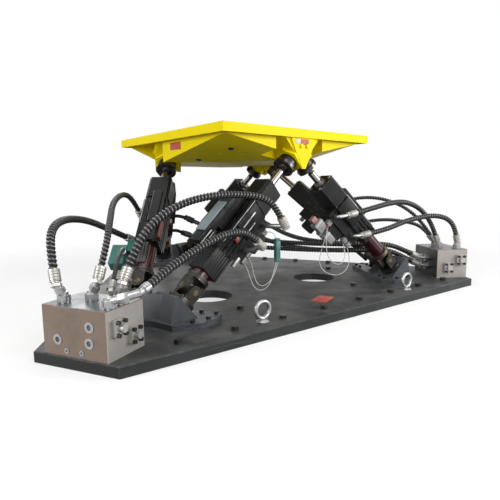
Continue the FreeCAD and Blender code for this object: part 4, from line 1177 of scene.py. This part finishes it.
WIRES = (
    Wire("signal_wire_2a", 2, 0.382, ((-423, -600, 303), (-408, -612, 268), (-412, -645, 215),
         (-408, -680, 165), (-378, -705, 150), (-340, -728, 185), (-318, -732, 245), (-300, -735, 309))),
    Wire("signal_wire_2b", 2, 0.367, ((-390, -596, 332), (-374, -602, 300), (-385, -640, 240),
         (-392, -678, 190), (-366, -700, 172), (-328, -722, 205), (-300, -729, 255), (-284, -733, 309))),
    Wire("signal_wire_2c", 2, 0.139, ((-300, -735, 439), (-302, -722, 464), (-310, -680, 476),
         (-324, -613, 456))),
    Wire("signal_wire_3a", 3, 0.652, ((270, -574, 469), (264, -578, 436), (245, -575, 380), (215, -568, 300),
         (200, -565, 225), (225, -590, 165), (285, -630, 140), (350, -655, 160), (400, -650, 215),
         (425, -620, 270), (430, -596, 314))),
    Wire("signal_wire_3b", 3, 0.482, ((274, -554, 469), (268, -560, 434), (262, -572, 375), (250, -580, 310),
         (258, -598, 250), (300, -622, 210), (352, -632, 215), (385, -622, 260), (398, -603, 305),
         (399, -588, 346))),
)


@dataclass(frozen=True)
class PhotoCamera:
    """The camera of the photograph, solved from the ground plate, the blocks and the tray."""

    place: Triple = (-1.8497, -2.5980, 0.7212)
    heading: float = 53.635
    pitch: float = -8.110
    roll: float = -0.565
    focal_pixels: float = 446.2
    image_pixels: float = 500.0
    sensor: float = 36.0
    reach: float = 60.0

    def build(self) -> None:
        """Makes the camera and gives it to the scene."""
        heading, pitch, roll = (math.radians(angle) for angle in (self.heading, self.pitch, self.roll))
        flat = math.cos(pitch)
        forward = Vector((math.cos(heading) * flat, math.sin(heading) * flat, math.sin(pitch)))
        level = Vector((math.sin(heading), -math.cos(heading), 0.0))
        upright = level.cross(forward)
        right = level * math.cos(roll) + upright * math.sin(roll)
        up = upright * math.cos(roll) - level * math.sin(roll)
        data = bpy.data.cameras.new("photo_camera")
        data.sensor_width = self.sensor
        data.lens = self.sensor * self.focal_pixels / self.image_pixels
        data.clip_end = self.reach
        camera = linked("photo_camera", data)
        turn = Matrix((right, up, -forward)).transposed().to_4x4()
        camera.matrix_world = Matrix.Translation(self.place) @ turn
        bpy.context.scene.camera = camera


@dataclass(frozen=True)
class Softbox:
    """One large soft lamp that looks at the middle of the platform."""

    name: str
    place: Triple
    size: float
    power: float
    target: Triple = (0.0, 0.0, 0.4)

    def build(self) -> None:
        """Makes the lamp."""
        data = bpy.data.lights.new(self.name, "AREA")
        data.shape = "SQUARE"
        data.size = self.size
        data.energy = self.power
        lamp = linked(self.name, data)
        turn = (Vector(self.target) - Vector(self.place)).to_track_quat("-Z", "Y").to_matrix().to_4x4()
        lamp.matrix_world = Matrix.Translation(self.place) @ turn


@dataclass(frozen=True)
class Studio:
    """The pale floor, the world and the lamps."""

    floor_half: float = 20.0
    plain: float = 0.3
    world: float = 0.26
    pale: float = 0.93
    glow: float = 0.55
    near: float = 1.9
    far: float = 3.4
    lamps: tuple[Softbox, ...] = (
        Softbox("overhead", (-0.5, -0.5, 4.6), 4.0, 75.0),
        Softbox("front", (-0.3, -5.2, 2.2), 2.6, 120.0),
        Softbox("left", (-5.2, -0.6, 2.0), 2.6, 150.0),
        Softbox("right", (3.6, -4.2, 1.8), 2.2, 165.0),
        Softbox("back", (1.0, 5.2, 2.8), 2.4, 60.0),
    )

    def seen(self, wiring: Wiring) -> Socket:
        """Wires the mask of the rays that show the background."""
        path = wiring.node("ShaderNodeLightPath")
        direct = wiring.math("ADD", path.outputs["Is Camera Ray"], path.outputs["Is Glossy Ray"])
        return wiring.math("ADD", direct, path.outputs["Is Transmission Ray"])

    def build(self) -> None:
        """Makes the floor, the world and the lamps."""
        self.floor()
        world = bpy.data.worlds.new("studio")
        world.use_nodes = True
        bpy.context.scene.world = world
        wiring = Wiring(world.node_tree)
        grey = (self.world,) * 3
        colour = wiring.mix(self.seen(wiring), grey, (1.0, 1.0, 1.0))
        wiring.give(world.node_tree.nodes["Background"].inputs["Color"], colour)
        for lamp in self.lamps:
            lamp.build()
        bpy.context.scene.view_settings.view_transform = "Standard"

    def floor(self) -> None:
        """Makes the floor, which shows pale and keeps the shadow."""
        shape = bmesh.new()
        bmesh.ops.create_grid(shape, x_segments=1, y_segments=1, size=self.floor_half)
        mesh = bpy.data.meshes.new("floor")
        shape.to_mesh(mesh)
        shape.free()
        floor = linked("floor", mesh)
        floor.location.z = -MILLIMETRE
        material = bpy.data.materials.new("pale_floor")
        material.use_nodes = True
        mesh.materials.append(material)
        nodes = material.node_tree.nodes
        nodes.remove(nodes["Principled BSDF"])
        wiring = Wiring(material.node_tree)
        plain = wiring.node("ShaderNodeBsdfDiffuse")
        wiring.give(plain.inputs["Color"], (self.plain,) * 3)
        pale = wiring.node("ShaderNodeBsdfDiffuse")
        wiring.give(pale.inputs["Color"], (self.pale,) * 3)
        glow = wiring.node("ShaderNodeEmission")
        shown = wiring.node("ShaderNodeMixShader")
        reach = wiring.vector("LENGTH", wiring.place(), output="Value")
        share = wiring.span(reach, self.near, self.far, self.glow, 1.0)
        for socket, value in zip(shown.inputs, (share, pale.outputs[0], glow.outputs[0])):
            wiring.give(socket, value)
        both = wiring.node("ShaderNodeMixShader")
        for socket, value in zip(both.inputs, (self.seen(wiring), plain.outputs[0], shown.outputs[0])):
            wiring.give(socket, value)
        wiring.give(nodes["Material Output"].inputs["Surface"], both.outputs[0])


@dataclass(frozen=True)
class Piece:
    """One rounded block on some legs, between two corners in their axes in millimetres.

    Y is turned over on a leg whose hoses are on its other side.
    """

    name: str
    legs: tuple[int, ...]
    low: Triple
    high: Triple
    finish: Finish
    edge: float = 0.002

    def build(self, leg: Leg) -> None:
        """Builds the block on one leg."""
        shape = bmesh.new()
        low, high = metres(self.low), metres(self.high)
        middle = (low + high) / 2
        slab(shape, tuple(high - low), leg.lay(middle.x, leg.hand * middle.y, middle.z), self.edge)
        piece = finished(f"{self.name}_{leg.number}", shape, self.finish)
        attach(piece, f"cylinder_{leg.number}")


ALL_LEGS = tuple(LEG_HANDS)
PIECES = (
    # The sensor rail carries the case, and its black also paints the shade between the case and the ribs.
    Piece("sensor_rail_and_shade", (2,), (-166, -50, 205), (-122.2, 34, 540), SERVO_BLACK, 0.004),
    Piece("sensor_panel", (2,), (-176, -44, 270), (-166, 26, 480), SENSOR_GREY, 0.003),
    Piece("sensor_lid", (2,), (-174, -48, 484), (-160, 30, 534), BLACK_ANODISED),
    Piece("rail_strip", (2,), (-146, 33, 210), (-140, 36, 300), WHITE_PLASTIC, 0.001),
    Piece("lower_block", (1,), (-150, -60, 206), (-122.2, 34, 330), BLACK_ANODISED, 0.004),
    Piece("upper_bar", (2,), (-24, 76.1, 440), (-16, 80, 560), ZINC, 0.001),
    Piece("lower_bar", (2,), (18, 76.1, 430), (24, 80, 520), ZINC, 0.001),
    Piece("upper_connector", (3,), (168, -22, 560), (236, 30, 634), CONNECTOR_GREY, 0.003),
    Piece("upper_stripe", (3,), (167, -23, 614), (237, 31, 624), WHITE_PLASTIC, 0.001),
    Piece("lower_connector", (3,), (188, -26, 450), (240, 32, 534), CONNECTOR_GREY, 0.003),
    Piece("lower_stripe", (3,), (187, -27, 514), (241, 33, 524), WHITE_PLASTIC, 0.001),
    Piece("connector_cap", (3,), (184, -12, 634), (224, 20, 676), PINK_CAP, 0.003),
    Piece("junction_box", (1,), (-34, 113, 128), (34, 200, 262), TEAL, 0.005),
    Piece("side_cover", (1,), (-72, -72, 285), (-30, -56, 420), SIGNAL_RED, 0.003),
    Piece("red_cap", (2,), (-14, 64.1, 352), (16, 76, 384), SIGNAL_RED, 0.004),
    Piece("bright_plug", (2,), (86, 36, 256), (106, 60, 321.8), SLEEVE, 0.003),
    Piece("servo_cap", ALL_LEGS, (186.1, -28, 440), (193, 28, 526), SERVO_BLACK),
    Piece("low_band", ALL_LEGS, (142, 5, 329), (148, 41, 365), WHITE_PLASTIC, 0.001),
    Piece("middle_band", ALL_LEGS, (142, 5, 373), (148, 41, 409), WHITE_PLASTIC, 0.001),
    Piece("high_cap", ALL_LEGS, (156, 9, 551), (170, 37, 579), SIGNAL_RED),
    Piece("side_plate", ALL_LEGS, (-56, 64.1, 420), (60, 76, 600), BLACK_ANODISED, 0.003),
    Piece("side_strip", ALL_LEGS, (-63, 64.1, 300), (-60, 68, 608), ZINC, 0.001),
)


@dataclass(frozen=True)
class Ribs:
    """A ribbed cover round a barrel, between two corners in the leg's axes in millimetres."""

    low: Triple
    high: Triple
    finish: Finish
    count: int = 7
    depth: float = 7.0
    core_edge: float = 0.001
    rib_edge: float = 0.0012

    def build(self, leg: Leg) -> None:
        """Builds the cover on one leg."""
        shape = bmesh.new()
        low, high = metres(self.low), metres(self.high)
        middle, size, deep = (low + high) / 2, high - low, self.depth / 1000
        core = (size.x - 2 * deep, size.y - 2 * deep, size.z)
        slab(shape, core, leg.lay(*middle), self.core_edge)
        for across, other in ((0, 1), (1, 0)):
            step = size[across] / self.count
            for k in range(self.count):
                block, spot = list(size), list(middle)
                block[across] = step * 0.5
                spot[across] = low[across] + step * (k + 0.5)
                slab(shape, tuple(block), leg.lay(*spot), self.rib_edge)
        piece = finished(f"ribbed_cover_{leg.number}", shape, self.finish)
        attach(piece, f"cylinder_{leg.number}")


RIBBED = {
    1: Ribs((-62, -16, 122), (62, 61, 261.8), COVER_GREY, count=5),
    2: Ribs((-62, -62, 118), (62, 62, 261.8), COVER_BLACK),
}


class LegDress:
    """Dresses one leg's CAD nodes and adds the small pieces on them."""

    def __init__(self, leg: Leg) -> None:
        """Keeps the leg and the body that its still parts ride on."""
        self.leg = leg
        self.body = f"cylinder_{leg.number}"

    def build(self) -> None:
        """Dresses the leg."""
        number = self.leg.number
        collar = DARK_STEEL if number in RIBBED else BRASS
        dress(f"cross_{number}", BRASS.material())
        dress(f"barrel_{number}", zoned(f"barrel_coats_{number}", self.leg, DARK_STEEL, (
            Zone((-FAR, -FAR, COLLAR_START), (FAR, FAR, COLLAR_END), collar),
            Zone((-FAR, -FAR, COLLAR_END), (FAR, FAR, FAR), MAROON),
        )))
        dress(f"housing_{number}", zoned(f"housing_coats_{number}", self.leg, BLACK_ANODISED, (
            Zone((-GLAND_HALF, -GLAND_HALF, GLAND_START), (GLAND_HALF, GLAND_HALF, FAR), ZINC),
        )))
        dress(f"rod_{number}", zoned(f"rod_coats_{number}", self.leg, DARK_STEEL, (
            Zone((-FAR, -FAR, 0.0), (FAR, FAR, self.rod_end()), CHROME),
        )))
        dress(f"valves_{number}", self.valve_material())
        for piece in PIECES:
            if number in piece.legs:
                piece.build(self.leg)
        if number in RIBBED:
            RIBBED[number].build(self.leg)
        self.head_screws()
        LOG.info("dressed leg %d", number)

    def rod_end(self) -> float:
        """Gives how far along the leg the chrome reaches."""
        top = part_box(f"rod_{self.leg.number}")[1].z - BALL
        return (top - self.leg.base.z) / self.leg.axis.z - NECK_LENGTH

    def head_screws(self) -> None:
        """Builds the four socket screws in the top of the head block."""
        shape = bmesh.new()
        for x, y in ((-1, -1), (-1, 1), (1, -1), (1, 1)):
            lathe(shape, HEAD_SCREW, self.leg.lay(SCREW_SPACING * x, SCREW_SPACING * y, HEAD_TOP), sides=12)
        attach(finished(f"head_screws_{self.leg.number}", shape, ZINC), self.body)

    def hosed_zone(self, low: Triple, high: Triple, finish: Finish) -> Zone:
        """Gives a zone that is turned over with the side of the leg's hoses.

        Args:
            low: its low corner on a leg whose hoses are on the +Y side.
            high: its high corner there.
            finish: the finish inside it.

        Returns:
            The zone on this leg.
        """
        near, far = sorted((self.leg.hand * low[1], self.leg.hand * high[1]))
        return Zone((low[0], near, low[2]), (high[0], far, high[2]), finish)

    def valve_material(self) -> bpy.types.Material:
        """Builds the material of the valve group: block, servo, connectors, sensor case and pipes."""
        pipes = BLACK_OXIDE if self.leg.number in FAR_LEGS else ZINC
        zones = [
            self.hosed_zone((-FAR, PIPES_START, -FAR), (FAR, FAR, FAR), pipes),
            Zone(*SOCKETS_BOX, CONNECTOR_GREY),
            Zone(*SERVO_BOX, SERVO_BLACK),
        ]
        if self.leg.number == 1:
            zones.append(self.hosed_zone(*SIDE_BOX, TEAL))
        return zoned(f"valve_coats_{self.leg.number}", self.leg, SERVO_BLACK, zones)


@dataclass(frozen=True)
class BlankPlate:
    """One thin blank plate: its middle in millimetres, its size, and the turn of its face from -Y."""

    name: str
    middle: Triple
    size: Triple
    turn: float
    body: str
    finish: Finish
    edge: float = 0.0004

    def build(self) -> None:
        """Builds the plate."""
        shape = bmesh.new()
        turn = Matrix.Rotation(math.radians(self.turn), 4, "Z")
        lay = Matrix.Translation(metres(self.middle)) @ turn
        slab(shape, tuple(part / 1000 for part in self.size), lay, self.edge)
        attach(finished(self.name, shape, self.finish), self.body)


PLATES = (
    BlankPlate("fascia_plate", (-563.6, -96, 969), (122, 1.6, 44), -86.4, "platform", PLATE_RED),
    BlankPlate("gusset_plate", (42, -593.4, 981), (66, 1.6, 32), 3.6, "platform", PLATE_RED),
    BlankPlate("white_plate", (-13, -596.9, 983), (40, 1.6, 30), 3.6, "platform", WHITE_PLASTIC),
    BlankPlate("ground_patch", (42, -757, 50.5), (150, 96, 0.9), 24.0, "base", PLATE_RED),
)
# Plugs in the drain holes; their black also stands for the shade inside the holes.
DRAIN_PLUGS = ((-419.0, -123.6, 889.6), (-370.6, -413.8, 939.2))
DRAIN_PLUG = ((0.017, -0.002), (0.017, 0.004), (0.014, 0.006), (0.009, 0.006), (0.007, 0.002))
UNDERSIDE = (-0.171, -0.193, -0.966)


def build_drain_plugs() -> None:
    """Builds the two dark plugs in the sloped underside of the tray, whose black is partly painted shade for
    the insides of the drain holes.
    """
    for k, middle in enumerate(DRAIN_PLUGS):
        shape = bmesh.new()
        lathe(shape, DRAIN_PLUG, aimed(metres(middle), Vector(UNDERSIDE)), sides=20)
        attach(finished(f"drain_plug_{k}", shape, BLACK_OXIDE), "platform")


TERMINALS = ((-300, -735), (-284, -733))
TERMINAL_CASE = (0.0156, 0.0236, 0.1)
TERMINAL_END = (0.0136, 0.0216, 0.015)
TERMINAL_PARTS = ((TERMINAL_CASE, 0.374), (TERMINAL_END, 0.3165), (TERMINAL_END, 0.4315))
TERMINAL_EDGE = 0.002


def build_terminals() -> None:
    """Builds the two small terminals that hang on the wires of the second leg."""
    for k, (x, y) in enumerate(TERMINALS):
        shape = bmesh.new()
        for size, height in TERMINAL_PARTS:
            slab(shape, size, Matrix.Translation((x / 1000, y / 1000, height)), TERMINAL_EDGE)
        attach(finished(f"terminal_{k}", shape, TEAL), "cylinder_2")


class Platform:
    """Builds and dresses the whole motion platform."""

    def build(self) -> None:
        """Builds every piece in order."""
        for hose in HOSES:
            hose.build()
        for wire in WIRES:
            wire.build()
        build_terminals()
        dress("manifolds", faced("manifold_steel", BLOCK, BLOCK_FACES))
        dress("base_plate", faced("plate_steel", GROUND, GROUND_FACES))
        for node, finish in NODE_FINISHES.items():
            dress(node, finish.material())
        for plate in PLATES:
            plate.build()
        build_drain_plugs()
        for leg in LEGS.values():
            LegDress(leg).build()


def main() -> None:
    """Builds the camera, the cords, the pieces and the studio."""
    logging.basicConfig(level=logging.INFO, format="%(name)s: %(message)s")
    PhotoCamera().build()
    Platform().build()
    Studio().build()


if __name__ == "__main__":
    main()
